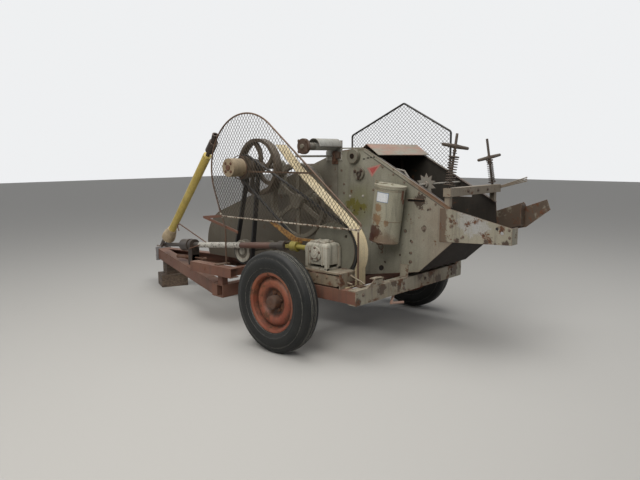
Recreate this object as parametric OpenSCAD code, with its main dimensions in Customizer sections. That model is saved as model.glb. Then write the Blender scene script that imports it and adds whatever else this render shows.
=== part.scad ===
// Towed square baler with a swinging ram, belt and shaft drive and an A-frame drawbar.
// +Y is the towing direction, +X the machine's right side, +Z up, the floor is z = 0.

/* [Wheels] */
// Outside diameter of a tyre
tyre_d = 744; // [720:4:760]
// Width of a tyre over its shoulders
tyre_w = 160; // [140:4:176]
// Distance between the centres of the two tyres
track = 1784; // [1770:2:1800]
// Diameter of the bead seat of a rim
rim_d = 406; // [380:2:420]
// Width of a rim over its flanges
rim_w = 118; // [100:2:130]
// Depth of a tread groove
tread_depth = 9; // [5:1:12]
// Diameter of an axle stub
stub_d = 40; // [30:1:50]
// Side of the square axle beam
axle_side = 76; // [60:2:90]

/* [Frame] */
// Width of the frame over its side rails
frame_w = 1440; // [1420:4:1460]
// Height of a side rail
rail_h = 90; // [80:2:100]
// Width of a side rail's flanges
rail_flange = 84; // [70:2:84]
// Wall of a rail
rail_wall = 8; // [6:1:10]
// Width of the rear beam's flanges
beam_flange = 70; // [60:2:80]
// Distance from the axle back to the rear beam's web
rear_reach = 600; // [580:5:620]
// Distance from the axle forward to the drawbar's front plate
hitch_reach = 2800; // [2760:5:2820]
// Offset of the hitch from the middle of the machine
hitch_x = -100; // [-120:5:-80]
// Height of a drawbar leg
leg_h = 110; // [90:2:120]
// Width of a drawbar leg
leg_w = 96; // [70:2:100]
// Height of the underside of the drawbar legs at the rear
leg_z = 210; // [200:2:214]
// Height of the underside of the drawbar at the hitch
hitch_z = 285; // [276:1:300]
// Radius of the pin hole in the hitch plate
hitch_r = 18; // [14:1:20]

/* [Body] */
// Width of the bale chamber over its side plates
chamber_w = 720; // [700:4:740]
// Distance from the middle of the machine to the chamber's middle
chamber_x = 270; // [260:2:280]
// Thickness of a side plate
plate_t = 6; // [4:1:8]
// Thickness of the cover and floor sheets
sheet_t = 4; // [3:1:6]
// Height of the peak of the side plates
peak_z = 1480; // [1460:5:1500]
// Radius of the round nose
nose_r = 353; // [340:2:360]
// Width of the rim angles
rim_angle = 36; // [28:2:44]

/* [Drive] */
// Diameter of the flywheel
fly_d = 480; // [460:4:492]
// Width of the flywheel's rim
fly_w = 70; // [64:2:80]
// Height of the flywheel shaft
fly_z = 1325; // [1315:1:1335]
// Number of flywheel spokes
spokes = 5; // [4:1:6]
// Diameter of the drive shafts
shaft_d = 40; // [34:1:44]
// Diameter of the outer belt drum
drum_d = 150; // [130:2:160]
// Diameter of the belt pulley beside the flywheel
fly_pulley_d = 110; // [100:2:120]
// Diameter of the lower pulley
pulley_d = 200; // [180:4:210]
// Height of the lower pulley
pulley_z = 591; // [580:1:600]
// Diameter of the drive disc
disc_d = 400; // [380:4:410]
// Height of the drive disc
disc_z = 738; // [735:1:750]
// Width of one belt
belt_w = 21; // [16:1:22]
// Thickness of a belt
belt_t = 14; // [10:1:16]
// Outer diameter of the long drive shaft
drive_d = 52; // [44:2:56]
// Diameter of the folded input shaft's tube
tube_d = 76; // [70:2:80]
// Widest diameter of its ribbed cone
cone_d = 140; // [126:2:142]

/* [Guards] */
// Diameter of the guard rods
rod_d = 14; // [12:1:16]
// Radius of the round top of the left guard
guard_r = 460; // [450:2:470]
// Pitch of the guard mesh
mesh_pitch = 96; // [80:2:110]
// Width of a mesh strand
strand = 9; // [7:1:12]
// Thickness of the guard mesh
mesh_t = 3; // [2:1:4]
// Width of the cream belt guard
band_w = 115; // [90:1:120]

/* [Fittings] */
// Diameter of the twine can
can_d = 224; // [200:4:230]
// Height of the twine can
can_h = 416; // [380:4:430]
// Lean of the twine can, top to the rear
can_lean = 7.5; // [0:0.5:9]
// Diameter of a density spring
spring_d = 74; // [64:2:80]
// Wire of a density spring
spring_wire = 9; // [7:1:10]
// Turns of a density spring
turns = 7; // [6:1:8]
// Length of the folded input shaft
input_len = 1800; // [1780:5:1810]

/* [Hidden] */
$fn = 64;
gap = 0.3;
running = 0.05;

// places of the axle and the frame
axle_y = -700;
axle_z = tyre_d / 2;
rail_z = axle_z + axle_side / 2;
rail_top = rail_z + rail_h;
rail_x = frame_w / 2;
rear_y = axle_y - rear_reach;
beam_h = rail_h + 2 * rail_wall;
beam_z = rail_z - rail_wall;
beam_top = beam_z + beam_h;
hitch_y = axle_y + hitch_reach;
cross_y = 200;
leg_rear_x = rail_x - 50;
leg_end_y = hitch_y - 130;
corner_len = 150;
front_rail_h = rail_h - 8;

// the bale chamber: planes of the plates and the outline in y and z
left_x = chamber_x - chamber_w / 2;
right_x = chamber_x + chamber_w / 2;
inner_w = chamber_w - 2 * plate_t;
peak = [-860, peak_z];
rim_low = [-1640, 1050];
exit_low = [-1660, 805];
heel = [-1390, 560];
keel = [-860, 470];
keel_front = [-500, 420];
nose_c = [807, 551];
nose_low = keel_front[1];
shoulder = [-600, peak_z - 30];
nose_top_a = atan2(shoulder[1] - nose_c[1], shoulder[0] - nose_c[0])
    - acos(nose_r / norm(shoulder - nose_c));
nose_low_a = -asin((nose_c[1] - nose_low) / nose_r);
rim_a = atan2(peak[1] - rim_low[1], peak[0] - rim_low[0]);
rim_t = 5;
function on_nose(a, r = nose_r) = nose_c + r * [cos(a), sin(a)];
// height of the plates' sloping rear rim, front slope and lower edge at y
function rim_z(y) = rim_low[1] + (y - rim_low[0]) * tan(rim_a);
function slope_z(y) = shoulder[1] + (y - shoulder[0]) * tan(nose_top_a - 90);
function plate_z(y) = keel[1] + (heel[1] - keel[1]) * (y - keel[0]) / (heel[0] - keel[0]);

// the drive: places of the shafts
fly_x = -362;
fly_y = 50;
pulley_y = 193;
// the two belts run beside the flywheel, 5 clear of it
belt_x = fly_x - fly_w / 2 - 5 - belt_w - 1;
disc_x = -520;
disc_y = -940;
sheave_d = 190;
sheave_w = 40;
drum_x = -700;
drum_len = 130;
gear_x = -320;
gear_w = 50;
gear_y = -350;
gear_z = 1050;
gear_d = 620;
box_x = -700;
box_w = 150;
box_y = -1020;
box_len = 210;
box_z = 610;
box_h = 190;
stub_x = -625;
drive_front = [-235, 1730, 472];
drive_rear = [stub_x, -570, disc_z];
stand_y = 1050;

// the guards, each a chain of circles [centre, radius] joined by tangents
guard_x = -584;
guard_c = [-40, 1300];
guard_low_z = 905;
guard_rear_y = -1230;
guard_front_y = 310;
guard_left = [
    [[guard_rear_y + 30, guard_low_z + 30], 30], [[guard_front_y - 30, guard_low_z + 30], 30],
    [guard_c, guard_r]
];
far_x = 715;
guard_right = [
    [[-1140, 1200], 30], [[-130, 1200], 30], [[-130, 1590], 30], [[-690, 1845], 30],
    [[-1140, 1600], 30]
];
band_x = -570;
band_r = 262;
band_a = 126.5;
band_run = 450;
band_bend = 1250;
band_turn = 14;
band_tip = 220;

// A straight round bar between two points
module bar(a, b, d) {
    v = b - a;
    translate(a)
        rotate([0, acos(v[2] / norm(v)), atan2(v[1], v[0])])
            cylinder(h = norm(v), d = d);
}

// Turns a piece that stands on z = 0 to stand on point a and point along v
module along(a, v) {
    translate(a) rotate([0, acos(v[2] / norm(v)), atan2(v[1], v[0])]) children();
}

// Puts a piece at point o with its x and z axes along the unit vectors x and z
module in_frame(o, x, z) {
    y = cross(z, x);
    multmatrix([
        [x[0], y[0], z[0], o[0]], [x[1], y[1], z[1], o[1]], [x[2], y[2], z[2], o[2]], [0, 0, 0, 1]
    ]) children();
}

// Stands an outline in y and z upright, from x to x + t
module upright(x, t) {
    translate([x, 0, 0]) rotate([90, 0, 90]) linear_extrude(height = t) children();
}

// Lays a round piece across the machine, from x to x + its height
module across(x, y, z) {
    translate([x, y, z]) rotate([0, 90, 0]) children();
}

// A channel section along +Y with its web at x = 0 and its flanges towards +X
module channel(len, h, flange, wall) {
    difference() {
        cube([flange, len, h]);
        translate([wall, -1, wall]) cube([flange, len + 2, h - 2 * wall]);
    }
}

// The same piece on both sides of the machine
module both_sides() {
    children();
    mirror([1, 0, 0]) children();
}

// Angle of the outward normal of the outer tangent from circle a to circle b
function normal(a, b) =
    atan2(b[0][1] - a[0][1], b[0][0] - a[0][0]) - acos((a[1] - b[1]) / norm(b[0] - a[0]));
function spot(c, angle, r) = c[0] + r * [cos(angle), sin(angle)];
function next(list, i) = list[(i + 1) % len(list)];
function before(list, i) = list[(i + len(list) - 1) % len(list)];

// The area inside a chain of circles, drawn in by inset
module chain_area(list, inset) {
    polygon([
        for (i = [0 : len(list) - 1]) let (n = normal(list[i], next(list, i)))
            each [spot(list[i], n, list[i][1] - inset),
                spot(next(list, i), n, next(list, i)[1] - inset)]
    ]);
    for (c = list) translate(c[0]) circle(r = c[1] - inset, $fn = 96);
}

// The same area as one outline of short straight steps, for thin mesh panels
module chain_panel(list, inset) {
    polygon([
        for (i = [0 : len(list) - 1])
            let (
                n0 = normal(before(list, i), list[i]), n1 = normal(list[i], next(list, i)),
                sweep = (n1 - n0 + 720) % 360, steps = ceil(sweep / 7)
            )
                for (k = [0 : steps]) spot(list[i], n0 + sweep * k / steps, list[i][1] - inset)
    ]);
}

// A round rod bent along a chain of circles, in the plane of y and z at x
module chain_rod(x, list, d) {
    translate([x, 0, 0]) rotate([90, 0, 90]) for (i = [0 : len(list) - 1]) {
        n = normal(list[i], next(list, i));
        n0 = normal(before(list, i), list[i]);
        sweep = (n - n0 + 720) % 360;
        translate(list[i][0]) rotate([0, 0, n0])
            rotate_extrude(angle = sweep) translate([list[i][1], 0]) circle(d = d, $fn = 24);
        a = spot(list[i], n, list[i][1]);
        b = spot(next(list, i), n, next(list, i)[1]);
        translate(a) rotate([0, 0, atan2(b[1] - a[1], b[0] - a[0])]) rotate([0, 90, 0])
            translate([0, 0, -1]) cylinder(h = norm(b - a) + 2, d = d - 0.6, $fn = 24);
    }
}

module rear_beam() {
    color("darkkhaki") {
        translate([rail_x, rear_y, beam_z]) rotate([0, 0, 90])
            channel(frame_w, beam_h, beam_flange, rail_wall);
        // gusset at its right end
        translate([0, rear_y + 8, 0]) rotate([90, 0, 0]) linear_extrude(height = 8) polygon([
            [rail_x - 84, beam_top - 1], [rail_x, beam_top - 1], [rail_x, beam_top + 50],
            [rail_x - 26, beam_top + 178], [rail_x - 42, beam_top + 178], [rail_x - 66, beam_top + 90]
        ]);
        // brackets that carry the side plates
        for (x = [left_x - rail_wall, right_x]) translate([x, rear_y, beam_top - 1])
            cube([rail_wall, beam_flange, plate_z(rear_y) + 60 - beam_top]);
    }
}

module rails() {
    color("sienna") both_sides() {
        translate([-rail_x, rear_y + rail_wall, rail_z])
            channel(rear_reach + 242, rail_h, rail_flange, rail_wall);
        translate([-rail_x, 30, rail_z]) channel(560, front_rail_h, rail_flange, rail_wall);
    }
}

module outriggers() {
    color("sienna") for (y = [-590, 60]) {
        h = (y > 0 ? front_rail_h : rail_h) - 2 * rail_wall;
        for (x = [-rail_x + rail_wall, right_x])
            translate([x, y, rail_z + rail_wall])
                cube([x < 0 ? left_x - x : rail_x - rail_wall - right_x, 60, h]);
    }
}

// The cross beam with its corner pieces, and posts up to the front rails
module cross_beam() {
    color("sienna") {
        translate([leg_rear_x, cross_y, leg_z]) rotate([0, 0, 90])
            channel(2 * leg_rear_x, leg_h, 80, rail_wall);
        both_sides() {
            translate([-leg_rear_x, cross_y + 79, leg_z + 1]) cube([80, corner_len - 79, leg_h - 2]);
            translate([-leg_rear_x + 5, cross_y + 10, leg_z + leg_h - 1])
                cube([60, 60, rail_z - leg_z - leg_h + 1]);
        }
    }
}

// One leg as a channel with its web outside, from a corner piece to the hitch, for side -1 or 1
module drawbar_leg(side) {
    a = [side * leg_rear_x, cross_y + corner_len - 60, leg_z];
    b = [hitch_x + side * 50, leg_end_y + 60, hitch_z];
    v = b - a;
    run = norm([v[0], v[1]]);
    intersection() {
        translate(a) rotate([0, 0, atan2(v[1], v[0])]) rotate([0, -atan(v[2] / run), 0])
            rotate([0, 0, -90]) mirror([side > 0 ? 1 : 0, 0, 0])
                channel(norm(v), leg_h, leg_w, rail_wall);
        translate([side > 0 ? hitch_x + gap / 2 : -rail_x, cross_y + corner_len, 0])
            cube([side > 0 ? rail_x - hitch_x : rail_x + hitch_x - gap / 2,
                leg_end_y - cross_y - corner_len, 600]);
    }
}

module drawbar() {
    color("sienna") for (side = [-1, 1]) drawbar_leg(side);
}

module hitch_plate() {
    tongue = hitch_y - leg_end_y;
    color("dimgray") difference() {
        union() {
            translate([hitch_x - 95, leg_end_y, hitch_z - 20]) cube([190, 12, leg_h + 40]);
            for (z = [hitch_z + 8, hitch_z + leg_h - 26]) translate([hitch_x, leg_end_y, z]) {
                translate([-45, 0, 0]) cube([90, tongue - 45, 16]);
                translate([0, tongue - 45, 0]) cylinder(h = 16, r = 45);
            }
        }
        translate([hitch_x, hitch_y - 45, hitch_z - 30]) cylinder(h = leg_h + 60, r = hitch_r);
    }
}

block_h = 130;
block_y = 1810;
module blocks() {
    under = leg_top(block_y - 80) - leg_h;
    color("saddlebrown") {
        translate([hitch_x, block_y, 0]) rotate([0, 0, -23])
            translate([-140, -125, 0]) cube([280, 250, block_h]);
        translate([hitch_x, block_y, block_h - 1]) rotate([0, 0, -14])
            translate([-85, -60, 0]) cube([170, 120, under - block_h + 2.4]);
    }
}

module axle() {
    half = track / 2 - 75;
    color("sienna") {
        translate([-half, axle_y - axle_side / 2, axle_z - axle_side / 2])
            cube([2 * half, axle_side, axle_side]);
        across(-track / 2 - 40, axle_y, axle_z) cylinder(h = track + 80, d = stub_d);
    }
}

// Half section of a rim with its hub, drawn at the wheel's axis, the outer side towards +Y
module rim_section() {
    r = rim_d / 2;
    w = rim_w / 2;
    lip = r + 19;
    bore = stub_d / 2 + running;
    polygon([
        [r - 5, -w], [lip, -w], [lip, -w + 5], [r, -w + 7], [r, w - 7], [lip, w - 5], [lip, w],
        [r - 5, w], [r - 9, 22], [r - 30, 30], [130, 34], [96, 16], [78, 14], [52, 14],
        [52, 56], [46, 62], [0, 62], [0, 48], [bore, 48], [bore, -70], [52, -70], [52, 4], [82, 4],
        [100, 7], [130, 25], [r - 34, 20], [r - 12, 10]
    ]);
}

module rim() {
    rotate_extrude() rim_section();
    for (i = [0 : 4]) rotate([0, 0, 72 * i]) translate([67, 0, 12])
        cylinder(h = 16, d = 20, $fn = 6);
}

module tyre() {
    r = tyre_d / 2;
    w = tyre_w / 2;
    bead = rim_d / 2 + gap;
    lip = bead + 20;
    rotate_extrude() difference() {
        polygon([
            [bead, -rim_w / 2 + 8], [lip, -rim_w / 2 + 8], [lip + 4, -rim_w / 2], [bead + 60, -w + 6],
            [bead + 96, -w], [r - 50, -w + 4], [r - 22, -w + 14], [r - 4, -w + 28], [r, -w + 38],
            [r, w - 38], [r - 4, w - 28], [r - 22, w - 14], [r - 50, w - 4], [bead + 96, w],
            [bead + 60, w - 6], [lip + 4, rim_w / 2], [lip, rim_w / 2 - 8], [bead, rim_w / 2 - 8]
        ]);
        for (side = [-1, 1]) translate([r - tread_depth, side * 16 - 6]) square([20, 12]);
    }
}

// A wheel stands with its outer side away from the machine
module on_axle(side) {
    translate([side * track / 2, axle_y, axle_z]) rotate([0, side * 90, 0]) children();
}
module rim_left() { color("orangered") on_axle(-1) rim(); }
module rim_right() { color("orangered") on_axle(1) rim(); }
module tyre_left() { color("darkslategray") on_axle(-1) tyre(); }
module tyre_right() { color("darkslategray") on_axle(1) tyre(); }

module plate_outline() {
    polygon([
        peak, rim_low, exit_low, heel, keel, keel_front, [nose_c[0], nose_low], nose_c,
        on_nose(nose_top_a), shoulder
    ]);
    intersection() {
        translate(nose_c) circle(r = nose_r, $fn = 128);
        translate([nose_c[0] - 1, nose_low]) square([nose_r + 2, 2 * nose_r]);
    }
}

// A side plate with the holes for the ram's shaft and for the twine
module side_plate(x) {
    upright(x, plate_t) difference() {
        plate_outline();
        translate(ram_pivot) circle(d = shaft_d + 12);
        translate([-1050, 550]) circle(d = 40);
        translate([-1430, 1082]) square([150, 16]);
    }
}

// A flat strip that caps a plate's sloping rim
module rim_strip(x) {
    translate([x, rim_low[0], rim_low[1]]) rotate([rim_a, 0, 0])
        cube([rim_angle, norm(peak - rim_low) - 20, rim_t]);
}

module side_plate_left() {
    color("darkseagreen") {
        side_plate(left_x);
        rim_strip(left_x - 6);
    }
}

module side_plate_right() {
    color("darkseagreen") {
        side_plate(right_x - plate_t);
        rim_strip(right_x + 6 - rim_angle);
    }
}

// The sheet over the sloping front and round the nose, between the plates
module front_cover() {
    color("lightgray") upright(left_x + plate_t, inner_w) {
        polygon([
            shoulder, on_nose(nose_top_a - 2, nose_r - 0.2), on_nose(nose_top_a - 2, nose_r - sheet_t),
            shoulder - [0, sheet_t]
        ]);
        difference() {
            translate(nose_c) circle(r = nose_r, $fn = 128);
            translate(nose_c) circle(r = nose_r - sheet_t, $fn = 128);
            translate([nose_c[0] - nose_r - 1, 0]) square([nose_r + 1, 2 * nose_r + nose_c[1]]);
            translate([nose_c[0] - 1, 0]) square([nose_r + 2, nose_low]);
        }
        polygon([
            on_nose(nose_top_a, nose_r - 0.3), on_nose(90, nose_r - 0.3), on_nose(90, nose_r - sheet_t),
            on_nose(nose_top_a, nose_r - sheet_t)
        ]);
    }
}

// The chamber's floor sheet, which runs on behind the plates as a chute
module floor() {
    line = [
        [on_nose(nose_low_a, nose_r - sheet_t)[0] - 1, nose_low], keel_front, keel, heel, exit_low,
        [-1870, 880]
    ];
    color("gray") upright(left_x + plate_t, inner_w) polygon(concat(
        line, [for (i = [len(line) - 1 : -1 : 0]) line[i] + [0, sheet_t + 2]]
    ));
}

// A folded sheet on the plates' top edges, up to the feed opening
module hood() {
    line = [shoulder, peak, peak + [-30, 25], [-1010, peak_z - 60]];
    color("silver") upright(left_x, chamber_w) polygon(concat(
        line, [for (i = [len(line) - 1 : -1 : 0]) line[i] + [0, sheet_t + 1]]
    ));
}

module exit_rails() {
    color("darkseagreen") difference() {
        union() {
            upright(left_x - 5, 5) polygon([
                [-1560, 1045], [-1640, 1045], [-2100, 942], [-2100, 830], [-1560, 805]
            ]);
            translate([left_x - 5, -2100, 830]) cube([90, 5, 112]);
        }
        across(left_x - 6, -2030, 905) cylinder(h = 7, d = 24);
    }
    color("darkseagreen") {
        upright(right_x, 5) polygon([
            [-1500, 928], [-1865, 1062], [-1885, 1030], [-2040, 1090], [-2070, 1015],
            [-1890, 870], [-1500, 780]
        ]);
        translate([right_x - 80, -1880, 885]) cube([81, 5, 165]);
    }
}

ram_pivot = [-780, 1415];
module ram() {
    wide = inner_w - 12;
    color("dimgray") {
        across(left_x - 45, ram_pivot[0], ram_pivot[1]) cylinder(h = chamber_w + 90, d = shaft_d);
        across(left_x + plate_t + 6, ram_pivot[0], ram_pivot[1]) cylinder(h = wide, d = 64);
        for (x = [left_x + 80, right_x - 120]) translate([x, ram_pivot[0] - 30, 620])
            cube([40, 60, ram_pivot[1] - 620]);
        translate([left_x + plate_t + 6, ram_pivot[0] - 60, 560]) cube([wide, 31, 380]);
    }
}

beam_y = -1650;
beam_low = 1130;
module tension_beam() {
    color("darkkhaki") {
        translate([left_x - 20, beam_y, beam_low]) cube([chamber_w + 70, 60, 60]);
        // brackets on the plates' rims
        for (x = [left_x - 6, right_x - 30]) upright(x, rim_angle)
            polygon([
                [beam_y + 15, rim_z(beam_y + 15) + rim_t / cos(rim_a)],
                [beam_y + 55, rim_z(beam_y + 55) + rim_t / cos(rim_a)],
                [beam_y + 55, beam_low + 6], [beam_y + 15, beam_low + 6]
            ]);
        for (i = [-1 : 1])
            bar([right_x + 48, beam_y + 30 + i * 15, 1160], [right_x + 62, -1855, 1235 + i * 14], 9);
    }
}

spindle_feet = [[-78, -1615, 1165], [610, -1615, 1165]];
spindle_tops = [[-25, -1640, 1570], [540, -1585, 1545]];
function spindle_v(i) = spindle_tops[i] - spindle_feet[i];
handle_at = [0.78, 0.62];
spring_at = [0.11, 0.11];
spring_len = [190, 165];
spring_wide = [spring_d, spring_d - 22];
module spindles() {
    color("dimgray") for (i = [0, 1]) along(spindle_feet[i], spindle_v(i)) {
        h = norm(spindle_v(i));
        lean = acos(spindle_v(i)[2] / h);
        // it stands on the beam's top with the low edge of its end
        start = (beam_low + 60.2 - spindle_feet[i][2] + 9 * sin(lean)) / cos(lean);
        translate([0, 0, start]) cylinder(h = h - start, d = 18);
        translate([0, 0, h * spring_at[i]]) cylinder(h = 6, d = spring_wide[i] + 6);
        translate([0, 0, h * spring_at[i] + 6 + spring_len[i]]) cylinder(h = 8, d = spring_wide[i] + 2);
        translate([-110, 0, h * handle_at[i]]) rotate([0, 90, 0]) cylinder(h = 220, d = 20);
    }
}

// A coil spring of square ends, as a wire swept round a helix
module coil(d, h, n) {
    steps = 16;
    ring = 5;
    last = n * steps;
    wire = spring_wire / 2;
    points = [
        for (k = [0 : last]) for (j = [0 : ring - 1])
            let (a = k * 360 / steps, b = j * 360 / ring, r = (d - spring_wire) / 2 + wire * cos(b))
                [r * cos(a), r * sin(a), wire + (h - 2 * wire) * k / last + wire * sin(b)]
    ];
    faces = concat(
        [[for (j = [0 : ring - 1]) j]],
        [
            for (k = [0 : last - 1]) for (j = [0 : ring - 1])
                [k * ring + j, (k + 1) * ring + j, (k + 1) * ring + (j + 1) % ring,
                    k * ring + (j + 1) % ring]
        ],
        [[for (j = [ring - 1 : -1 : 0]) last * ring + j]]
    );
    polyhedron(points = points, faces = faces);
}

module springs() {
    color("dimgray") for (i = [0, 1]) along(spindle_feet[i], spindle_v(i))
        translate([0, 0, norm(spindle_v(i)) * spring_at[i] + 6 + gap])
            coil(spring_wide[i], spring_len[i] - 2 * gap, turns);
}

guard_mid_z = 1292;
module guard_frame_left() {
    color("saddlebrown") {
        chain_rod(guard_x, guard_left, rod_d);
        // flat bar across, behind the mesh
        translate([guard_x + 5.5, -792, guard_mid_z - 7]) cube([7, 742, 14]);
        // rear foot on the rear beam, front foot with a bent brace on the front rail
        bar([guard_x, guard_rear_y + 22, beam_top + 6], [guard_x, guard_rear_y + 22, guard_low_z + 1], rod_d);
        translate([guard_x - 30, guard_rear_y - 25, beam_top]) cube([60, 60, 8]);
        bar([guard_x, 294, guard_low_z - 2], [guard_x, 250, 790], rod_d);
        bar([guard_x, 251, 797], [guard_x, 251, rail_z + front_rail_h + 6], rod_d);
        translate([-rail_x + 30, 221, rail_z + front_rail_h]) cube([rail_x - 30 + guard_x + 24, 60, 8]);
    }
}

module mesh_holes(y0, y1, z0, z1) {
    ny = ceil((y1 - y0) / mesh_pitch);
    nz = ceil(2 * (z1 - z0) / mesh_pitch);
    half = mesh_pitch / 2 - strand * 0.71;
    for (k = [0 : nz]) for (j = [0 : ny])
        translate([y0 + (j + (k % 2) / 2) * mesh_pitch, z0 + k * mesh_pitch / 2])
            polygon([[-half, 0], [0, -half], [half, 0], [0, half]]);
}

// Flat stays, bolted to the inner side of the guard's rod
stay_x = guard_x + rod_d / 2 + gap;
module guard_stays() {
    color("goldenrod") {
        upright(stay_x, 8) polygon([[-262, 912], [-330, 912], [-665, 770], [-632, 738], [-590, 742]]);
        translate([stay_x - 6, box_y + box_len + gap, 781]) cube([12, -600 - box_y - box_len, 18]);
    }
    color("saddlebrown") upright(stay_x, 8) polygon([
        [300, 894], [300, 916], [574, 886], [574, 868], [100, 768], [100, 790], [480, 872]
    ]);
}

module guard_mesh_left() {
    inset = rod_d / 2 + 0.2;
    color("tan") upright(guard_x - mesh_t / 2, mesh_t) difference() {
        union() {
            difference() {
                chain_panel(guard_left, inset);
                intersection() {
                    chain_panel(guard_left, inset + strand);
                    mesh_holes(guard_rear_y, guard_c[0] + guard_r, guard_low_z, guard_c[1] + guard_r);
                }
            }
            translate([fly_y, fly_z]) circle(d = drum_d + 60);
        }
        translate([fly_y, fly_z]) circle(d = drum_d + 36);
    }
}

// The cream strip follows the slanted belt and bends round the drive disc
module belt_guard() {
    color("moccasin") upright(band_x, band_w) translate([disc_y, disc_z]) {
        // round the disc
        difference() {
            circle(r = band_r, $fn = 128);
            circle(r = band_r - 4, $fn = 128);
            polygon([
                [0, 0], 900 * [cos(band_a - 0.2), sin(band_a - 0.2)], [900, 900], [900, -900],
                [-900, -900], 900 * [cos(207), sin(207)]
            ]);
        }
        rotate(band_a) {
            // straight up along the belt, then bent towards the flywheel's top
            translate([band_r - 4, -band_run]) square([4, band_run + 1]);
            translate([band_r + band_bend, -band_run]) difference() {
                circle(r = band_bend + 4, $fn = 256);
                circle(r = band_bend, $fn = 256);
                polygon([
                    [0, 0], [-2 * band_bend, 0], [-2 * band_bend, 2 * band_bend],
                    [2 * band_bend, 2 * band_bend], [2 * band_bend, -2 * band_bend],
                    2 * band_bend * [-cos(band_turn), -sin(band_turn)]
                ]);
            }
            translate([band_r + band_bend, -band_run]) rotate(band_turn)
                translate([-band_bend - 4, -band_tip]) square([4, band_tip + 1]);
        }
    }
    // its lower end stands on the left rail
    foot_y = disc_y + band_r * cos(207) - 2;
    color("moccasin") {
        translate([band_x, foot_y, rail_top + 1]) cube([band_w, 4, disc_z + band_r * sin(207) - rail_top]);
        translate([-rail_x + 50, foot_y, rail_top]) cube([rail_x - 50 + band_x + band_w, 14, 6]);
    }
}

module guard_frame_right() {
    color("black") {
        chain_rod(far_x, guard_right, rod_d + 4);
        for (y = [-1000, -300]) across(right_x, y, 1170) cylinder(h = far_x - right_x, d = rod_d);
    }
}

module guard_mesh_right() {
    inset = rod_d / 2 + 2.2;
    color("darkgray") upright(far_x - mesh_t / 2, mesh_t) difference() {
        chain_panel(guard_right, inset);
        intersection() {
            chain_panel(guard_right, inset + strand);
            mesh_holes(-1165, -100, 1170, 1875);
        }
    }
}

module gearbox() {
    color("lightgray") difference() {
        union() {
            translate([box_x, box_y, box_z]) cube([box_w, box_len, box_h]);
            across(box_x - 22, -910, disc_z - 15) cylinder(h = 30, d = 110);
            translate([box_x + 60, -960, box_z + box_h - 1]) cylinder(h = 23, d = 80);
            translate([stub_x, box_y + box_len - 1, disc_z]) rotate([-90, 0, 0]) cylinder(h = 41, d = 90);
        }
        across(box_x + box_w - 60, disc_y, disc_z) cylinder(h = 61, d = shaft_d + 2 * running);
        translate([stub_x, box_y + box_len - 60, disc_z]) rotate([-90, 0, 0])
            cylinder(h = 120, d = shaft_d + 2 * running);
    }
}

module gearbox_bracket() {
    color("darkkhaki") {
        translate([-rail_x, -1160, box_z - 12]) cube([box_x + box_w + rail_x + 10, 360, 12]);
        for (y = [-1160, -812]) translate([-rail_x, y, rail_top])
            cube([rail_flange, 12, box_z - 11 - rail_top]);
    }
}

// A flange bearing on a plate's outer face
module flange_bearing(x, y, z, w = 40) {
    across(x, y, z) difference() {
        cylinder(h = w, d = 110);
        translate([0, 0, -1]) cylinder(h = w + 2, d = shaft_d + 2 * running);
    }
}

module bearings() {
    color("gray") {
        for (x = [left_x - 40, right_x]) {
            flange_bearing(x, ram_pivot[0], ram_pivot[1]);
            // pedestal of the flywheel shaft
            difference() {
                union() {
                    across(x, fly_y, fly_z) cylinder(h = 40, d = 110);
                    upright(x, 40) polygon([
                        [fly_y - 90, slope_z(fly_y) - 130], [fly_y + 90, slope_z(fly_y) - 130],
                        [fly_y + 50, fly_z], [fly_y - 50, fly_z]
                    ]);
                }
                across(x - 1, fly_y, fly_z) cylinder(h = 42, d = shaft_d + 2 * running);
            }
        }
        flange_bearing(left_x - 40, pulley_y, pulley_z);
        flange_bearing(left_x - 40, gear_y, gear_z);
        across(left_x - 24, -830, 1280) cylinder(h = 24, d = 100);
    }
}

drive_v = drive_rear - drive_front;
drive_u = drive_v / norm(drive_v);
function on_drive(y) = drive_front + drive_v * (y - drive_front[1]) / drive_v[1];
// Height of the legs' top at y
function leg_top(y) = leg_z + leg_h
    + (hitch_z - leg_z) * (y - cross_y - corner_len + 60) / (leg_end_y + 120 - cross_y - corner_len);

module bearing_stand() {
    at = on_drive(stand_y);
    foot = leg_top(stand_y + 30) + 1.25;
    color("black") difference() {
        union() {
            translate([at[0] - 45, stand_y - 30, foot]) cube([90, 60, at[2] - foot]);
            bar(at - drive_u * 30, at + drive_u * 30, 110);
        }
        bar(at - drive_u * 80, at + drive_u * 80, shaft_d + 2 * running);
    }
}

// An arc from the hub to the rim, as cast in an old flywheel
module curved_spoke(reach, at) {
    bend = 0.66 * reach;
    half = asin(reach / 2 / bend);
    translate([reach / 2, -bend * cos(half), at - 13]) rotate([0, 0, 90 - half])
        rotate_extrude(angle = 2 * half) translate([bend - 17, 0]) square([34, 26]);
}
module flywheel() {
    color("dimgray") {
        across(fly_x - fly_w / 2, fly_y, fly_z) {
            difference() {
                cylinder(h = fly_w, d = fly_d);
                translate([0, 0, -1]) cylinder(h = fly_w + 2, d = fly_d - 56);
            }
            cylinder(h = fly_w, d = 100);
            for (i = [0 : spokes - 1]) rotate([0, 0, i * 360 / spokes + 20])
                curved_spoke(fly_d / 2 - 26, fly_w / 2);
        }
        across(drum_x, fly_y, fly_z) cylinder(h = right_x + 44 - drum_x, d = shaft_d);
        across(drum_x, fly_y, fly_z) cylinder(h = drum_len, d = drum_d);
        across(belt_x - belt_w - 3, fly_y, fly_z)
            cylinder(h = fly_x - belt_x + belt_w + 3, d = fly_pulley_d);
        across(disc_x - sheave_w / 2, fly_y, fly_z) cylinder(h = sheave_w, d = sheave_d);
    }
}

module lower_pulley() {
    color("dimgray") {
        across(belt_x - belt_w - 3, pulley_y, pulley_z)
            cylinder(h = 2 * belt_w + 6, d = pulley_d);
        across(belt_x, pulley_y, pulley_z) cylinder(h = left_x - belt_x - 1, d = shaft_d);
    }
}

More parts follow.
